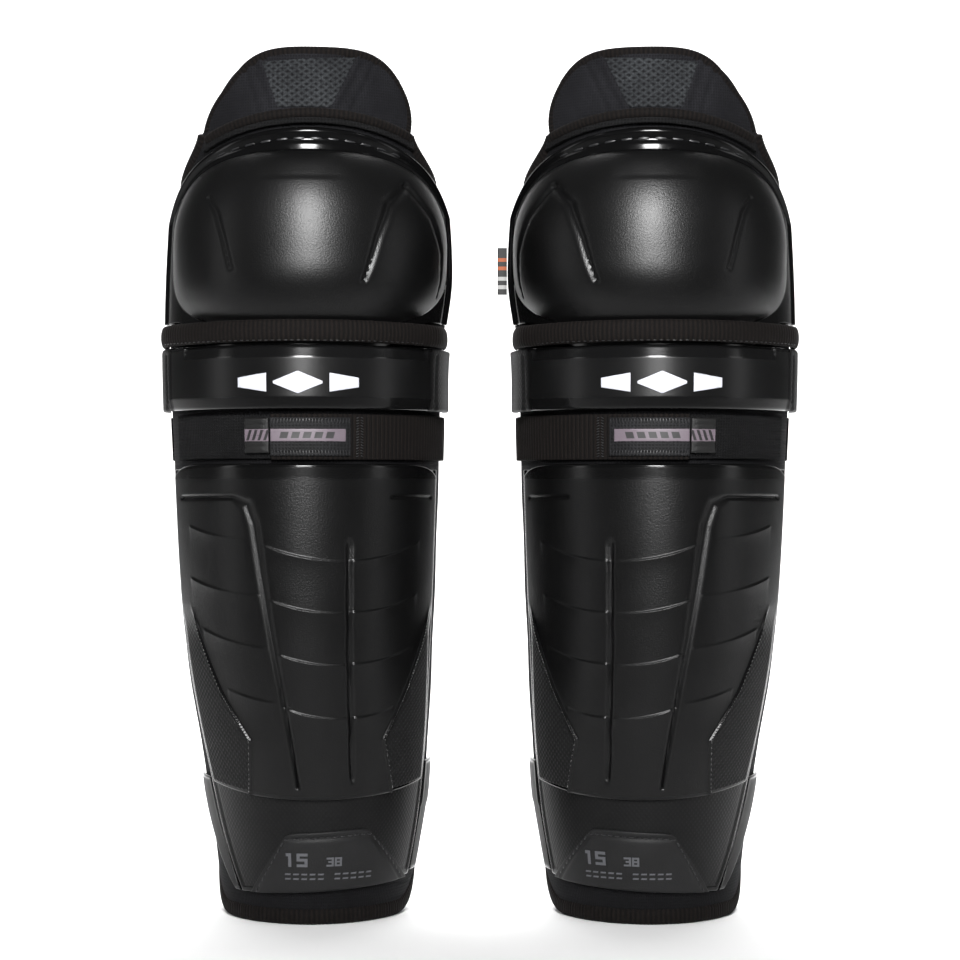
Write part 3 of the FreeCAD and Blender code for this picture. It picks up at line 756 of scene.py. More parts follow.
def turned(form):
    """A plate whose grid runs the other way round the leg, with its faces put right."""
    form["faces"] = [f[:, ::-1] for f in form["faces"]]
    return form


WING_PLASTIC = grained_plastic("smooth_polyethylene", "#040404", "#080809", 0.55, 1.2, 0.02)
for piece, outline, size in (("lateral_wing", lateral_wing, (26, 62)), ("medial_wing", medial_wing, (22, 62))):
    wing = shell(outline, lambda p, z: 0.4 + 0 * p, wing_face, size, (1.5, 1.5), 1.2)
    if piece == "lateral_wing":
        wing = turned(wing)
    both_legs(piece + "_shell", wing, WING_PLASTIC, "shin", [piece],
              marks={"gloss": 1 - ramp(wing["reach"], 1.5, 3.0)})


# ---- Size patch ----
# A moulded patch of soft film over foam closes the foot of the plate. It is a trapezoid, sewn all round, with
# the size pressed on it in grey ink: plain numbers for the length, and bars where words would stand.

def patch_outline(s, t):
    """Trapezoid, narrower at its head, a little higher on the inner side, its head corners rounded."""
    left = -35.5 + 21.0 * t
    right = 63.5 - 30.0 * t
    foot = PLATE_FOOT + 0.5 + 5.0 * s
    head = 51.5 + 2.4 * s - 5.0 * np.abs(2 * s - 1) ** 12
    return left + s * (right - left), foot + t * (head - foot)


def film(name, base, rough, pitch):
    """Coated film: flat black skin over foam, with a very fine leather grain."""
    material, tree = new_material(name)
    body = add(tree, "TexCoord").outputs["Object"]
    cell = add(tree, "TexVoronoi", {"Vector": body, "Scale": 1000.0 / pitch}).outputs["Distance"]
    cloud = add(tree, "TexNoise", {"Vector": body, "Scale": 60.0, "Detail": 2.0}).outputs["Fac"]
    shade = add(tree, "ValToRGB", {"Fac": cloud})
    shade.color_ramp.elements[0].color = colour(base[0])
    shade.color_ramp.elements[1].color = colour(base[1])
    bump = add(tree, "Bump", {"Height": cell, "Distance": 0.00012, "Strength": 0.5}).outputs[0]
    surface(tree, color=shade.outputs[0], roughness=rough, normal=bump, specular=0.25)
    return material


PATCH_FILM = film("coated_film", ("#0a0a0a", "#161617"), 0.55, 0.8)
PATCH_TOP = 3.2


def patch_reach(phi, z):
    """Distance in mm from the patch's nearer edge, head or side."""
    t = (z - PLATE_FOOT - 2.5) / 34.0
    side = np.minimum(phi + 35.5 - 21.0 * t, 63.5 - 30.0 * t - phi) * 0.82
    return np.minimum(side, 52.4 + 0.024 * phi - z)


def patch_face(phi, z):
    """Padded face: a sunk sewn channel 3.5 mm inside the edge, and a flat panel within it."""
    reach = patch_reach(phi, z)
    return PATCH_TOP + 0.1 - 0.75 * np.exp(-((reach - 3.4) / 1.5) ** 2) - 0.3 * (1 - ramp(reach, 0.5, 3.0))


patch = shell(patch_outline, lambda p, z: 1.9 + 0 * p, patch_face, (92, 34), (0.8, 0.6), 1.0)
both_legs("foot_patch", patch, PATCH_FILM, "shin", ["size_patch"])

steps = np.linspace(0.09, 0.91, 13)
rows = [(steps, 0 * steps + 0.905, 2.0)]
rise_share = np.linspace(0.05, 0.84, 9)
rows += [(0.038 + 0.03 * rise_share, rise_share, 62.0), (0.962 - 0.03 * rise_share, rise_share, 121.0)]
sewn = []
for s, t, turn in rows:
    p, q = patch_outline(s, t)
    sewn.append(stitches(p, q, PATCH_TOP - 0.35, turn, 2.6, 0.9))
both_legs("patch_stitches", join(sewn), THREAD, "shin")

# digits drawn as square strokes: x, y, width, height in shares of a 10 by 10 box
DIGITS = {
    "1": ((3.6, 0.0, 2.8, 10.0), (1.4, 7.8, 2.4, 2.2)),
    "5": ((0.0, 7.9, 10.0, 2.1), (0.0, 4.2, 2.8, 4.0), (2.0, 4.2, 8.0, 2.0), (7.2, 1.8, 2.8, 3.0), (0, 0, 10, 2.0)),
    "3": ((0.0, 7.9, 10.0, 2.1), (7.2, 1.6, 2.8, 6.6), (2.6, 4.1, 5.0, 1.9), (0.0, 0.0, 10.0, 2.0)),
    "8": ((0.0, 7.9, 10.0, 2.1), (0.0, 1.6, 2.8, 6.6), (7.2, 1.6, 2.8, 6.6), (2.4, 4.1, 5.2, 1.9), (0, 0, 10, 2.0)),
}


def flat_tiles(boxes, rise, thick, flip=1):
    """Thin raised tiles on the skin: each box is (phi, z, width mm, height mm, lean mm); eight corners each."""
    box = np.array(boxes, float)
    x = np.array([0, 1, 1, 0])[None] * box[:, 2:3] + np.array([0, 0, 1, 1])[None] * box[:, 4:5]
    up = np.array([0, 0, 1, 1])[None] * box[:, 3:4]
    p, q = box[:, 0:1] + flip * x / ARC, box[:, 1:2] + up
    top, low = skin(p, q, rise + thick), skin(p, q, rise)
    points = np.concatenate([top, low], axis=1)
    start = (np.arange(len(box)) * 8)[:, None]
    quads = np.array([[0, 1, 2, 3], [7, 6, 5, 4], [4, 5, 1, 0], [5, 6, 2, 1], [6, 7, 3, 2], [7, 4, 0, 3]])
    faces = (quads[None] + start[:, None]).reshape(-1, 4)
    if flip < 0:
        faces = faces[:, ::-1]
    return {"points": points.reshape(-1, 3), "faces": [faces], "uv": np.zeros((points.size // 3, 2))}


def ink(name, code, rough):
    """Screen-printed ink: one thin coat, slightly uneven and matt."""
    material, tree = new_material(name)
    cloud = add(tree, "TexNoise", {"Vector": add(tree, "TexCoord").outputs["Object"], "Scale": 900.0,
                                   "Detail": 2.0}).outputs["Fac"]
    shade = add(tree, "ValToRGB", {"Fac": cloud})
    tint = np.array(colour(code))
    shade.color_ramp.elements[0].color = (*(tint[:3] * 0.82).tolist(), 1.0)
    shade.color_ramp.elements[1].color = tuple(tint.tolist())
    surface(tree, color=shade.outputs[0], roughness=rough)
    return material


GREY_INK = ink("grey_screen_ink", "#4a4b4f", 0.6)


def number(text, phi, z, height, flip):
    """Tiles of a number; on the left guard the tiles run the other way so that it reads right."""
    boxes = []
    for k, digit in enumerate(text):
        start = k * height * 1.12
        for x, y, w, h in DIGITS[digit]:
            boxes.append((phi + flip * (start + x * height * 0.098) / ARC, z + y * height / 10,
                          w * height * 0.098, h * height / 10, 0.0))
    return flat_tiles(boxes, PATCH_TOP + 0.1, 0.24, flip)


for side, flip, start in (("right", 1, -13.0), ("left", -1, 36.0)):
    prints = [number("15", start, 33.2, 7.6, flip), number("38", start + flip * 22.0, 33.4, 5.0, flip)]
    bars = [(start + flip * k * 4.4, 26.0 + up, 3.9, 0.9, 0.3) for k in range(11) if k != 5 for up in (0.0, 2.6)]
    prints.append(flat_tiles(bars, PATCH_TOP + 0.1, 0.1, flip))
    form = join(prints)
    name = side + "_size_print"
    obj = bpy.data.objects.new(name, make_mesh(name, form, flip, {}, 30.0))
    bpy.context.scene.collection.objects.link(obj)
    obj.data.materials.append(GREY_INK)
    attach(obj, side + "_shin")


# ---- Strap ----
# A 25 mm ribbed elastic strap runs from the inner edge round the calf to the outer side. Its front end has hook
# pile and closes on a strip of loop pile; a patch is sewn over the end, with a welded bar and a rubber tab.

STRAP_LOW, STRAP_HIGH = 257.0, 282.0

LOOP_PILE = cloth("loop_pile", "#030303", "#141415", 0.8, 0.97, 0.5, sheen=0.03, fuzz=0.5)


def strip(phi_low, phi_high, z_low, z_high):
    """Outline that is a plain rectangle in phi and z."""
    return lambda s, t: (phi_low + s * (phi_high - phi_low), z_low + t * (z_high - z_low))


def pile_face(phi, z):
    """Uneven nap: small tufts, a sum of four waves that do not line up."""
    tuft = np.sin(phi * 3.1 + 0.8 * z) * np.sin(z * 3.7 - phi) + np.sin(phi * 5.3 - z * 2.1) * np.sin(z * 5.9)
    return 1.8 + 0.12 * tuft


loop = shell(strip(-63.5, 8.0, STRAP_LOW + 0.4, STRAP_HIGH - 0.4), lambda p, z: 0.4 + 0 * p, pile_face,
             (94, 24), (0.6, 0.6), 0.9)
both_legs("loop_pile_strip", loop, LOOP_PILE, "shin", ["loop_panel"])

ELASTIC = ribbed_tape("ribbed_elastic", 1.35)
CORD_PITCH = 1.35  # mm between the rubber cords of the elastic


def ribbed(rise):
    """A face with cords across the strap: a raised half sine every pitch."""
    return lambda p, z: rise(p) + 0.34 * np.abs(np.sin(np.pi * p * ARC / CORD_PITCH)) ** 0.8


def web_rise(phi):
    """The strap climbs over the loop pile at the front."""
    return 0.6 + 1.7 * (1 - ramp(phi, 10.0, 26.0))


def back_rise(phi):
    """The strap climbs over the binding tape on the back edges."""
    return 0.6 + 1.0 * ramp(phi, 90.0, 100.0)


web = shell(strip(-10.3, 80.2, STRAP_LOW, STRAP_HIGH), lambda p, z: web_rise(p),
            ribbed(lambda p: web_rise(p) + 1.35), (118, 25), (0.34, 1.6), 0.7, back=(30, 3))
both_legs("strap_front", web, ELASTIC, "strap", ["strap_web"], sharp=75)
strap_back = shell(strip(80.4, 262.0, STRAP_LOW, STRAP_HIGH), lambda p, z: back_rise(p),
                   ribbed(lambda p: back_rise(p) + 1.35), (238, 25), (0.34, 2.0), 0.7, back=(60, 3))
both_legs("strap_back", strap_back, ELASTIC, "shin", ["back_strap"], sharp=75)

PATCH_CLOTH = cloth("coated_ripstop", "#080808", "#1d1d1f", 0.9, 0.6, 0.2)
end_patch = shell(strip(-10.3, 21.5, 259.0, 280.0), lambda p, z: web_rise(p) + 1.65,
                  lambda p, z: web_rise(p) + 2.7 - 0.35 * stroke(p, z, [(-8.8, 278.0, 0.8), (20.0, 278.0, 0.8)])
                  - 0.35 * stroke(p, z, [(-8.8, 261.0, 0.8), (20.0, 261.0, 0.8)]),
                  (42, 21), (0.7, 0.5), 0.6)
both_legs("strap_end_patch", end_patch, PATCH_CLOTH, "strap", ["strap_patch"])

overlock = np.linspace(-9.4, 20.6, 26)
upper = [stitches(overlock, 278.2, web_rise(overlock) + 2.75, 82.0, 2.6, 0.6),
         stitches(overlock, 260.9, web_rise(overlock) + 2.75, 98.0, 2.6, 0.6)]
bartack = np.linspace(259.0, 280.0, 15)
upper.append(stitches(24.6 + 0 * bartack, bartack, web_rise(np.array(24.6)) + 1.8, 20.0, 1.9, 0.6))
upper.append(stitches(26.4 + 0 * bartack, bartack, web_rise(np.array(26.4)) + 1.8, -20.0, 1.9, 0.6))
both_legs("strap_stitches", join(upper), THREAD, "strap")

BAR_INK = ink("mauve_grey_film", "#5f555d", 0.5)
bar = shell(strip(-10.0, 19.2, 267.0, 273.8), lambda p, z: web_rise(p) + 2.7, lambda p, z: web_rise(p) + 3.1,
            (38, 7), (1.0, 1.0), 0.3)
both_legs("strap_bar_film", bar, BAR_INK, "strap", ["strap_bar"])
DARK_INK = ink("black_screen_ink", "#141214", 0.5)
generic = flat_tiles([(-6.5 + 4.4 * k, 268.7, 3.9, 3.4, 0.9) for k in range(5)], 5.42, 0.08)
both_legs("bar_blocks", generic, DARK_INK, "strap")

RUBBER = film("moulded_rubber", ("#0a0a0a", "#181818"), 0.5, 0.7)
pull = shell(strip(-21.0, -10.7, 260.5, 280.0), lambda p, z: 2.4 + 0 * p,
             lambda p, z: 4.6 + 0.4 * np.abs(np.sin(np.pi * (z - 260.5) / 3.9)) ** 0.5 * ramp(-p, 11.5, 13.5),
             (14, 19.5), (0.7, 0.4), 1.3)
both_legs("rubber_tab", pull, RUBBER, "tab", ["pull_tab"])
hatch = flat_tiles([(-19.9 + 2.35 * k, 267.6, 1.4, 5.6, 1.8) for k in range(4)], 4.95, 0.25)
tab_film = shell(strip(-20.6, -10.9, 267.0, 273.8), lambda p, z: 4.3 + 0 * p, lambda p, z: 5.0 + 0 * p,
                 (12.6, 7), (1.0, 1.0), 0.25)
both_legs("tab_film", tab_film, BAR_INK, "tab")
both_legs("tab_hatch", hatch, DARK_INK, "tab")


# ---- Sling band ----
# A moulded sling band bridges the gap between the knee cap and the shin cap. Its face is satin with a bevel
# along the top and the bottom; each end is a flat tab with a slot, sewn to the foam. A padded roll in ribbed
# tape closes the upper edge, and a plain raised mark stands in the middle.

BAND_PLASTIC = moulded_plastic("satin_band_plastic", "#080808", "#141415", 0.3, 0.9, 0.12)


def band_rise(front, side):
    """The band stands off in front and lies close at the sides."""
    return lambda phi, z: side + (front - side) * (1 - ramp(np.abs(phi), 56.0, 82.0))


def band_face(phi, z):
    """Face of the band: bevels at the top and bottom between the tabs, a slot and a step at each tab."""
    rise = band_rise(8.6, 4.4)(phi, z)
    front = ramp(phi, -48.2, -47.2) * (1 - ramp(phi, 54.5, 55.5))
    rise -= 1.9 * front * np.clip((z - 312.6) / 6.9, 0, 1)
    rise -= 1.5 * (1 - ramp(np.abs(phi), 62.0, 64.0)) * np.clip((291.0 - z) / 6.5, 0, 1)
    for at in (-61.5, 61.5):
        rise -= 1.2 * stroke(phi, z, [(at, 290.0, 1.1), (at * 1.01, 315.0, 1.1)])
    rise += 0.6 * ramp(np.abs(phi), 57.5, 58.6) * (1 - ramp(np.abs(phi), 88.0, 92.0))
    return rise


band = shell(strip(-93.0, 93.0, 284.6, 319.5), band_rise(5.6, 1.4), band_face, (262, 35), (1.0, 0.6), 1.3,
             back=(50, 4))
phi, z = band["at"]
band_gloss = np.maximum.reduce([
    ramp(z, 312.2, 312.8) * ramp(phi, -48.0, -47.0) * (1 - ramp(phi, 54.5, 55.5)), 1 - ramp(z, 290.6, 291.4),
    1 - ramp(band["reach"], 1.6, 2.4)]) * (1 - ramp(np.abs(phi), 57.5, 58.5))
both_legs("band_moulding", band, BAND_PLASTIC, "band", ["band_shell"],
          marks={"gloss": band_gloss, "weave": ramp(np.abs(phi), 57.8, 58.8)}, sharp=35)

path = np.linspace(-82.0, 82.0, 620)
roll = tape((path, 326.4 + 0.6 * np.cos(np.radians(path) * 2), band_rise(9.8, 1.9)(path, 0)), 6.0, 2.3, rib=0.04,
            pitch=1.4, square=0.9, around=18, taper=6.0)
both_legs("band_padded_roll", roll, TAPE, "band", ["band_roll"], sharp=70)
seam = np.linspace(-58.0, 58.0, 52)
both_legs("roll_stitches", stitches(seam, 321.6, band_rise(11.6, 5.0)(seam, 0), 0.0, 2.0, 0.5), THREAD, "band")
beads = np.linspace(289.5, 316.5, 8)
ends = [stitches(at + 0 * beads, beads, band_rise(8.9, 4.75)(np.array(at), 0), 90.0, 2.2, 0.8)
        for at in (-66.0, 66.0, -78.0, 78.0)]
both_legs("band_sewing", join(ends), THREAD, "band", ["band_stitches"])

WHITE_INK = ink("white_moulded_mark", "#b9bac2", 0.5)


def lozenge(s, t):
    """Plain lozenge, 18 degrees wide and 12.4 mm high, blunt at its tips."""
    return 1.0 + 9.0 * (2 * s - 1), 299.0 + 6.2 * (1 - 0.9 * np.abs(2 * s - 1)) * (2 * t - 1)


def mark_bar(way):
    """Bar that tapers away from the lozenge."""
    return lambda s, t: (1.0 + way * (11.5 + 11.0 * s), 299.0 + (5.2 - 2.6 * s) * (2 * t - 1))


low, high = band_rise(8.55, 4.3), band_rise(9.2, 4.6)
emblem = [shell(lozenge, low, high, (24, 12), (0.8, 0.8), 0.35),
          turned(shell(mark_bar(-1), low, high, (15, 6), (0.8, 0.8), 0.35)),
          shell(mark_bar(1), low, high, (15, 6), (0.8, 0.8), 0.35)]
both_legs("band_mark", join(emblem), WHITE_INK, "band", ["band_emblem"], sharp=40)


# ---- Knee gusset ----
# A strip of four-way stretch knit behind the band joins the shin foam to the knee foam.

STRETCH = cloth("stretch_knit", "#050505", "#121213", 0.8, 0.85, 0.2, sheen=0.04)
gusset = lining(strip(-78.0, 78.0, 270.0, 308.0), lambda p, z: -7.3 + 0 * p, lambda p, z: -8.1 + 0 * p,
                (204, 38), (4, 2.5), 0.4)
for obj, side in zip(both_legs("stretch_gusset", gusset, STRETCH, None, ["flex_gusset"]),
                     ("right", "left")):
    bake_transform(obj)


# ---- Knee cap ----
# The knee cap is one injection-moulded polyethylene shell: a satin dome, two embossed strokes with a facet
# between them, and round it a glossy flange with a sewn channel and a rolled lip. Foam fills it.

KNEE_PLASTIC = moulded_plastic("satin_knee_polyethylene", "#050505", "#0c0c0d", 0.35, 0.9, 0.3)
DOME_CENTRE = 368.0


def dome_radius(phi, z):
    """Superellipse radius: 0 at the middle of the dome, 1 at its foot."""
    across = np.abs(phi - 2.0) / 66.0
    up = np.abs(z - DOME_CENTRE) / np.where(z < DOME_CENTRE, 40.0, 58.0)
    return across**2.6 + up**2.6


def dome(phi, z):
    """Height of the dome: 14 mm times (1 - radius), raised to a power that makes its top edge fuller."""
    fullness = 1.1 - 0.42 * ramp(z, 345.0, 392.0)
    return 14.0 * np.maximum(0.0, 1 - dome_radius(phi, z)) ** fullness


def knee_outline_cap(s, t):
    """Outline of the knee cap: arched top with rounded corners; its foot is tucked behind the band."""
    phi = (2 * s - 1) * 74.0
    top = 438.2 - 0.0057 * (phi - 3.0) ** 2 - 16.0 * np.abs(2 * s - 1) ** 6
    foot = 316.0 + 17.5 * ramp(np.abs(phi), 30.0, 60.0)
    return phi, foot + t * (top - foot)


def knee_edge(phi, z):
    """Distance in mm from the cap's top or side edge."""
    top = 438.2 - 0.0057 * (phi - 3.0) ** 2 - 16.0 * (np.abs(phi) / 74.0) ** 6
    return np.minimum((top - z) * 0.93, (74.0 - np.abs(phi)) * 1.35)


CHEVRON = [(21.0, 354.0, 1.2), (25.5, 378.0, 1.8), (30.5, 396.0, 2.6), (39.0, 407.0, 2.4)]
OUTER_STROKE = [(39.0, 407.0, 2.0), (50.0, 391.0, 1.8), (56.5, 372.0, 1.2), (58.5, 348.0, 0.5)]
THIN_STROKE = [(-34.0, 400.0, 1.0), (-29.6, 391.0, 1.3), (-26.5, 378.0, 1.1), (-23.0, 360.0, 0.9)]


def knee_face(phi, z):
    """Face of the knee cap: dome, embossed strokes, crease at the top, flange, sewn channel, rolled lip."""
    rise = 4.2 + dome(phi, z)
    rise -= 1.5 * stroke(phi, z, CHEVRON) + 1.1 * stroke(phi, z, OUTER_STROKE) + 0.9 * stroke(phi, z, THIN_STROKE)
    rise -= 0.4 * ramp(z, 408.0, 411.0) * (1 - ramp(z, 413.0, 424.0)) * (1 - ramp(np.abs(phi), 10.0, 17.0))
    edge = knee_edge(phi, z)
    flange = ramp(dome_radius(phi, z), 0.9, 1.04)
    rise += 0.9 * edge_bead(edge, 2.0, 1.7) * flange
    rise -= 0.7 * edge_bead(edge, 6.2, 1.6) * flange
    return rise


knee_cap = shell(knee_outline_cap, lambda p, z: 1.2 + 0.94 * dome(p, z), knee_face, (232, 122), (1.1, 0.75), 1.5,
                 back=(40, 24))
phi, z = knee_cap["at"]
radius = dome_radius(phi, z)
knee_gloss = np.maximum(ramp(radius, 0.955, 0.995), 0.25 * stroke(phi, z, CHEVRON))
both_legs("knee_cap_shell", knee_cap, KNEE_PLASTIC, "knee", ["knee_cap"],
          marks={"gloss": knee_gloss, "weave": 0 * phi}, sharp=40)

FOAM = film("closed_cell_foam", ("#101010", "#1c1c1c"), 0.9, 1.5)
filling = shell(lambda s, t: ((2 * s - 1) * (44.0 - 12.0 * (2 * t - 1) ** 2), 340.0 + 70.0 * t),
                lambda p, z: 0.3 + 0 * p, lambda p, z: 0.4 + 0.9 * dome(p, z), (110, 70), (5, 5), 1.0)
both_legs("cap_foam_filling", filling, FOAM, "knee", ["knee_foam"])

lip = np.linspace(-48.0, 53.0, 16)
lip_z = 432.0 - 0.0050 * (lip - 3.0) ** 2
both_legs("lip_stitches", stitches(lip, lip_z, 3.7, np.degrees(np.arctan2(-0.0100 * (lip - 3.0), ARC)), 6.2, 1.5),
          THREAD, "knee", ["knee_stitches"])


# ---- Knee hem ----
# The top of the knee section is closed with a padded roll in ribbed tape over a narrow knit strip.

hem_path = np.linspace(-45.0, 50.0, 330)
hem = tape((hem_path, 446.2 - 0.0052 * (hem_path - 4.0) ** 2, 2.7 + 0 * hem_path), 2.7, 2.2, rib=0.1, pitch=1.4,
           square=0.95, around=16, taper=4.0)
both_legs("hem_roll", hem, TAPE, "knee", ["knee_hem"], sharp=70)
KNIT = cloth("knit_strip", "#050505", "#141415", 0.9, 0.9, 0.3, sheen=0.03)
knit = shell(lambda s, t: (-45.5 + 96.0 * s, 440.6 - 0.0052 * (-49.5 + 96.0 * s) ** 2 + 4.4 * t),
             lambda p, z: 0.2 + 0 * p, lambda p, z: 3.4 + 0 * p, (126, 4.6), (1.5, 0.8), 0.8)
both_legs("hem_knit", knit, KNIT, "knee")


# ---- Thigh flap ----
# A soft flap of foam between two fabrics, pressed in a mould, guards the thigh just above the knee. A diamond
# mesh is let into its middle, slanted ridges run beside it, and ribbed tape closes its edge.

FLAP_FABRIC = cloth("pressed_foam_fabric", "#08080a", "#1c1c1f", 0.8, 0.85, 0.15, sheen=0.04)


def flap_point(across, up):
    """Place on the flap from its shares across, -1 to 1, and up, 0 to 1; the shoulders are rounded."""
    phi = 1.5 + 5.5 * up + across * 52.0 * (1 - 0.2 * up**2)
    top = 484.0 - 18.0 * np.abs(across) ** 4
    return phi, 441.5 + up * (top - 441.5)


def mesh_half(z):
    """Half width of the mesh's trapezoid in degrees at a height."""
    return 11.5 + 9.5 * np.clip((z - 450.0) / 27.0, 0, 1)


def flap_relief(phi, z):
    """Pressed face: a step round the trapezoid and two slanted ridges on each side of it."""
    middle = 1.0 + 2.0 * np.clip((z - 450.0) / 27.0, 0, 1)
    gap = (np.abs(phi - middle) - mesh_half(z)) * ARC
    above = z - 478.0 - 0.05 * phi
    outside = np.maximum(gap, above)
    face = -1.0 - 0.5 * (1 - ramp(outside, -0.6, 0.8))
    for at, width in ((5.5, 2.0), (12.5, 1.8)):
        face -= 0.45 * np.exp(-((gap - at) / width) ** 4) * (1 - ramp(z, 474.0, 479.0))
    face += 0.25 * np.exp(-((gap - 1.6) / 0.9) ** 2)
    return face + 0.3 * np.sin((z - 441.5) / 43.0 * np.pi)


flap = shell(lambda s, t: flap_point(0.94 * (2 * s - 1), 1.06 * t - 0.12), lambda p, z: -5.0 + 0 * p, flap_relief,
             (128, 42), (0.8, 0.6), 1.2)
flap_pieces = both_legs("flap_panel", flap, FLAP_FABRIC, None, ["thigh_flap"])

across = np.concatenate([-1 + 0 * run, 2 * run - 1, 1 + 0 * run])
height = np.concatenate([1.12 * run - 0.12, 1 + 0 * run, 1 - 1.12 * run])
edge_phi, edge_z = flap_point(across, height)
edge_phi, edge_z = outline_path(edge_phi[::-1], edge_z[::-1], 0.5, 3.0, 7.0)
flap_tape = tape((edge_phi, edge_z, -3.0 + 0 * edge_phi), 3.0, 2.4, rib=0.15, pitch=1.8, square=0.75)
flap_pieces += both_legs("flap_tape", flap_tape, TAPE, None, ["flap_binding"], sharp=70)


def diamonds(phi, z):
    """Lattice of crossed threads on a 2.8 mm diamond pitch: the higher of two slanted half-sine ridges."""
    a = np.abs(np.sin(np.pi * (phi * ARC + z) / 2.8)) ** 3
    b = np.abs(np.sin(np.pi * (phi * ARC - z) / 2.8)) ** 3
    return -1.15 + 0.55 * np.maximum(a, b)


MESH_FABRIC = cloth("diamond_mesh", "#070709", "#303234", 1.5, 0.8, 0.1, sheen=0.02, turns=(1.0, -1.0))
insert = shell(lambda s, t: (1.0 + 2.0 * t + (2 * s - 1) * (11.5 + 9.5 * t), 450.0 + (25.5 + 3.0 * s) * t),
               lambda p, z: -1.9 + 0 * p, diamonds, (44, 27), (0.42, 0.42), 0.3)
flap_pieces += both_legs("flap_mesh_insert", insert, MESH_FABRIC, None, ["flap_mesh"])
for obj in flap_pieces:
    side = obj.name.split("_")[0]
    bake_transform(obj)


# ---- Woven label ----
# A folded woven label is sewn into the inner edge of the left knee section. It shows plain orange and white
# blocks.

def label_finish():
    """Damask label: black polyester satin with woven blocks of orange and white, 4.5 mm apart up the fold."""
    material, tree = new_material("damask_label")
    place = add(tree, "SeparateXYZ", {"Vector": add(tree, "TexCoord").outputs["Object"]}).outputs["Z"]
    share = add(tree, "MapRange", {"Value": place, "From Min": 0.3525, "From Max": 0.3795}).outputs[0]
    blocks = add(tree, "ValToRGB", {"Fac": share})
    stops = blocks.color_ramp
    stops.interpolation = "CONSTANT"
    bands = ((0.0, "#0d0d0d"), (0.12, "#8f8f8d"), (0.2, "#0d0d0d"), (0.3, "#8f8f8d"), (0.38, "#0d0d0d"),
             (0.52, "#8a4116"), (0.6, "#0d0d0d"), (0.7, "#8a4116"), (0.78, "#0d0d0d"))
    stops.elements[0].color = colour(bands[0][1])
    stops.elements[1].position, stops.elements[1].color = bands[1][0], colour(bands[1][1])
    for at, code in bands[2:]:
        stops.elements.new(at).color = colour(code)
    weave = add(tree, "TexWave", {"Vector": add(tree, "TexCoord").outputs["Object"], "Scale": 700.0,
                                  "Distortion": 0.5}).outputs["Fac"]
    bump = add(tree, "Bump", {"Height": weave, "Distance": 0.0001, "Strength": 0.5}).outputs[0]
    surface(tree, color=blocks.outputs[0], roughness=0.6, normal=bump)
    return material


LABEL = label_finish()
low, high = (np.array(corner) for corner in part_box("left_tab_label"))
fold = np.linspace(0, np.pi, 9)
tip = low[0] if abs(low[0]) < abs(high[0]) else high[0]
root = high[0] if tip == low[0] else low[0]
half = (high[1] - low[1]) / 2
middle_y = (high[1] + low[1]) / 2
bend = tip - np.sign(tip - root) * half
x = np.concatenate([[root], bend + np.sign(tip - root) * half * np.sin(fold), [root]])
y = np.concatenate([[middle_y + half], middle_y + half * np.cos(fold), [middle_y - half]])
levels = np.linspace(low[2], high[2], 14)
loop_count = len(x)
ring = np.arange(loop_count * len(levels)).reshape(len(levels), loop_count)
points = np.stack([np.tile(x, len(levels)), np.tile(y, len(levels)), np.repeat(levels, loop_count)], -1)
after = np.roll(ring, -1, axis=1)
walls = np.stack([ring[:-1], after[:-1], after[1:], ring[1:]], -1).reshape(-1, 4)
label_form = {"points": points, "faces": [walls, ring[0][::-1][None], ring[-1][None]],
              "uv": points[:, [0, 2]].copy()}
label = bpy.data.objects.new("left_woven_label", make_mesh("left_woven_label", label_form, 1, {}, 40.0))
bpy.context.scene.collection.objects.link(label)
label.data.materials.append(LABEL)
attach(label, "left_knee")
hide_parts("left_tab_label")


# ---- Stage, lights and camera ----
# A seamless pale sheet runs from the floor up behind the pair. A soft light hangs in front and above and a
# second fills from lower down; wide ones whiten the floor and the backdrop, and two strips draw the side edges.

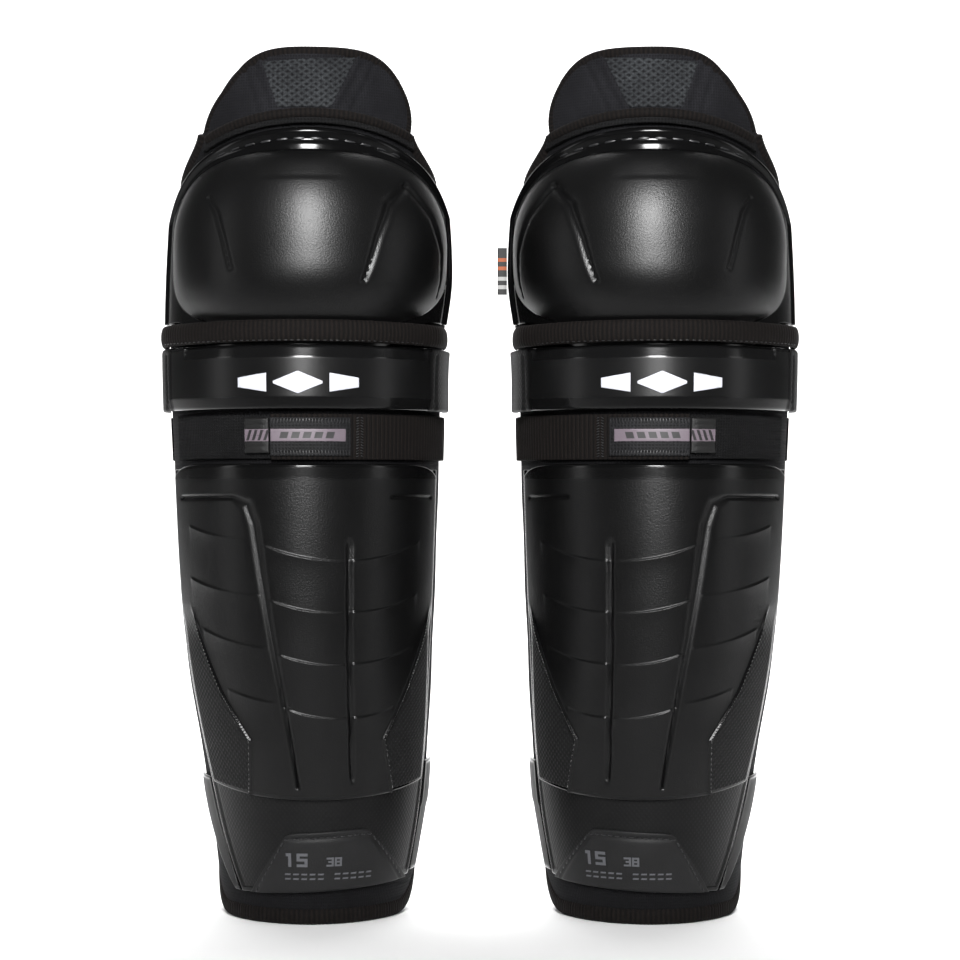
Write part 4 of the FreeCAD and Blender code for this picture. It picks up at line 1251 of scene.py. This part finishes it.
depth = np.concatenate([np.linspace(-7.0, 2.6, 12), 2.6 + 0.7 * np.sin(np.linspace(0, np.pi / 2, 14))[1:],
                        np.full(6, 3.3)])
height = np.concatenate([np.zeros(12), 0.7 * (1 - np.cos(np.linspace(0, np.pi / 2, 14)))[1:],
                         np.linspace(0.9, 3.0, 6)])
width = np.array([-6.0, 6.0])
grid = np.arange(len(depth) * 2).reshape(-1, 2)
points = np.stack([np.tile(width, len(depth)), np.repeat(depth, 2), np.repeat(height, 2)], -1)
faces = np.stack([grid[:-1, 0], grid[:-1, 1], grid[1:, 1], grid[1:, 0]], -1)
sheet = {"points": points, "faces": [faces], "uv": np.zeros((len(points), 2))}
backdrop = bpy.data.objects.new("backdrop", make_mesh("backdrop", sheet, 1, {}, 180.0))
bpy.context.scene.collection.objects.link(backdrop)
paper, tree = new_material("matt_paper")
surface(tree, color=colour("#f4f4f4"), roughness=0.95)
backdrop.data.materials.append(paper)

world = bpy.data.worlds.new("room")
bpy.context.scene.world = world
world.use_nodes = True
world.node_tree.nodes["Background"].inputs["Color"].default_value = (1.0, 1.0, 1.0, 1.0)
world.node_tree.nodes["Background"].inputs["Strength"].default_value = 0.09


def area_light(name, place, aim, size, power, opening=180.0):
    """One rectangular soft light at a place, turned to shine at an aim point."""
    lamp = bpy.data.lights.new(name, "AREA")
    lamp.shape = "RECTANGLE"
    lamp.size, lamp.size_y = size
    lamp.energy = power
    lamp.spread = np.radians(opening)
    obj = bpy.data.objects.new(name, lamp)
    bpy.context.scene.collection.objects.link(obj)
    obj.location = place
    way = Vector(aim) - Vector(place)
    obj.rotation_euler = way.to_track_quat("-Z", "Y").to_euler()


area_light("key_softbox", (0.0, -1.5, 0.98), (0.0, 0.0, 0.39), (0.4, 0.3), 3.4, 48.0)
area_light("fill_softbox", (0.0, -1.8, 0.66), (0.0, 0.0, 0.26), (0.5, 0.3), 1.3, 40.0)
area_light("top_softbox", (0.0, 0.75, 1.9), (0.0, 0.75, 0.0), (2.2, 0.8), 31.0, 70.0)
area_light("backdrop_softbox", (0.0, 1.9, 2.6), (0.0, 3.1, 0.3), (2.8, 0.5), 80.0, 115.0)
for way in (-1, 1):
    area_light("side_softbox", (way * 1.15, -0.35, 0.42), (0.0, 0.0, 0.25), (0.2, 0.8), 1.2)

camera = bpy.data.objects.new("camera", bpy.data.cameras.new("camera"))
bpy.context.scene.collection.objects.link(camera)
camera.location = (0.0, -1.5, 0.246)
camera.rotation_euler = (np.pi / 2, 0.0, 0.0)
camera.data.sensor_width = 36.0
camera.data.lens = 99.4
camera.data.clip_end = 50.0
bpy.context.scene.camera = camera
bpy.context.scene.view_settings.view_transform = "Standard"
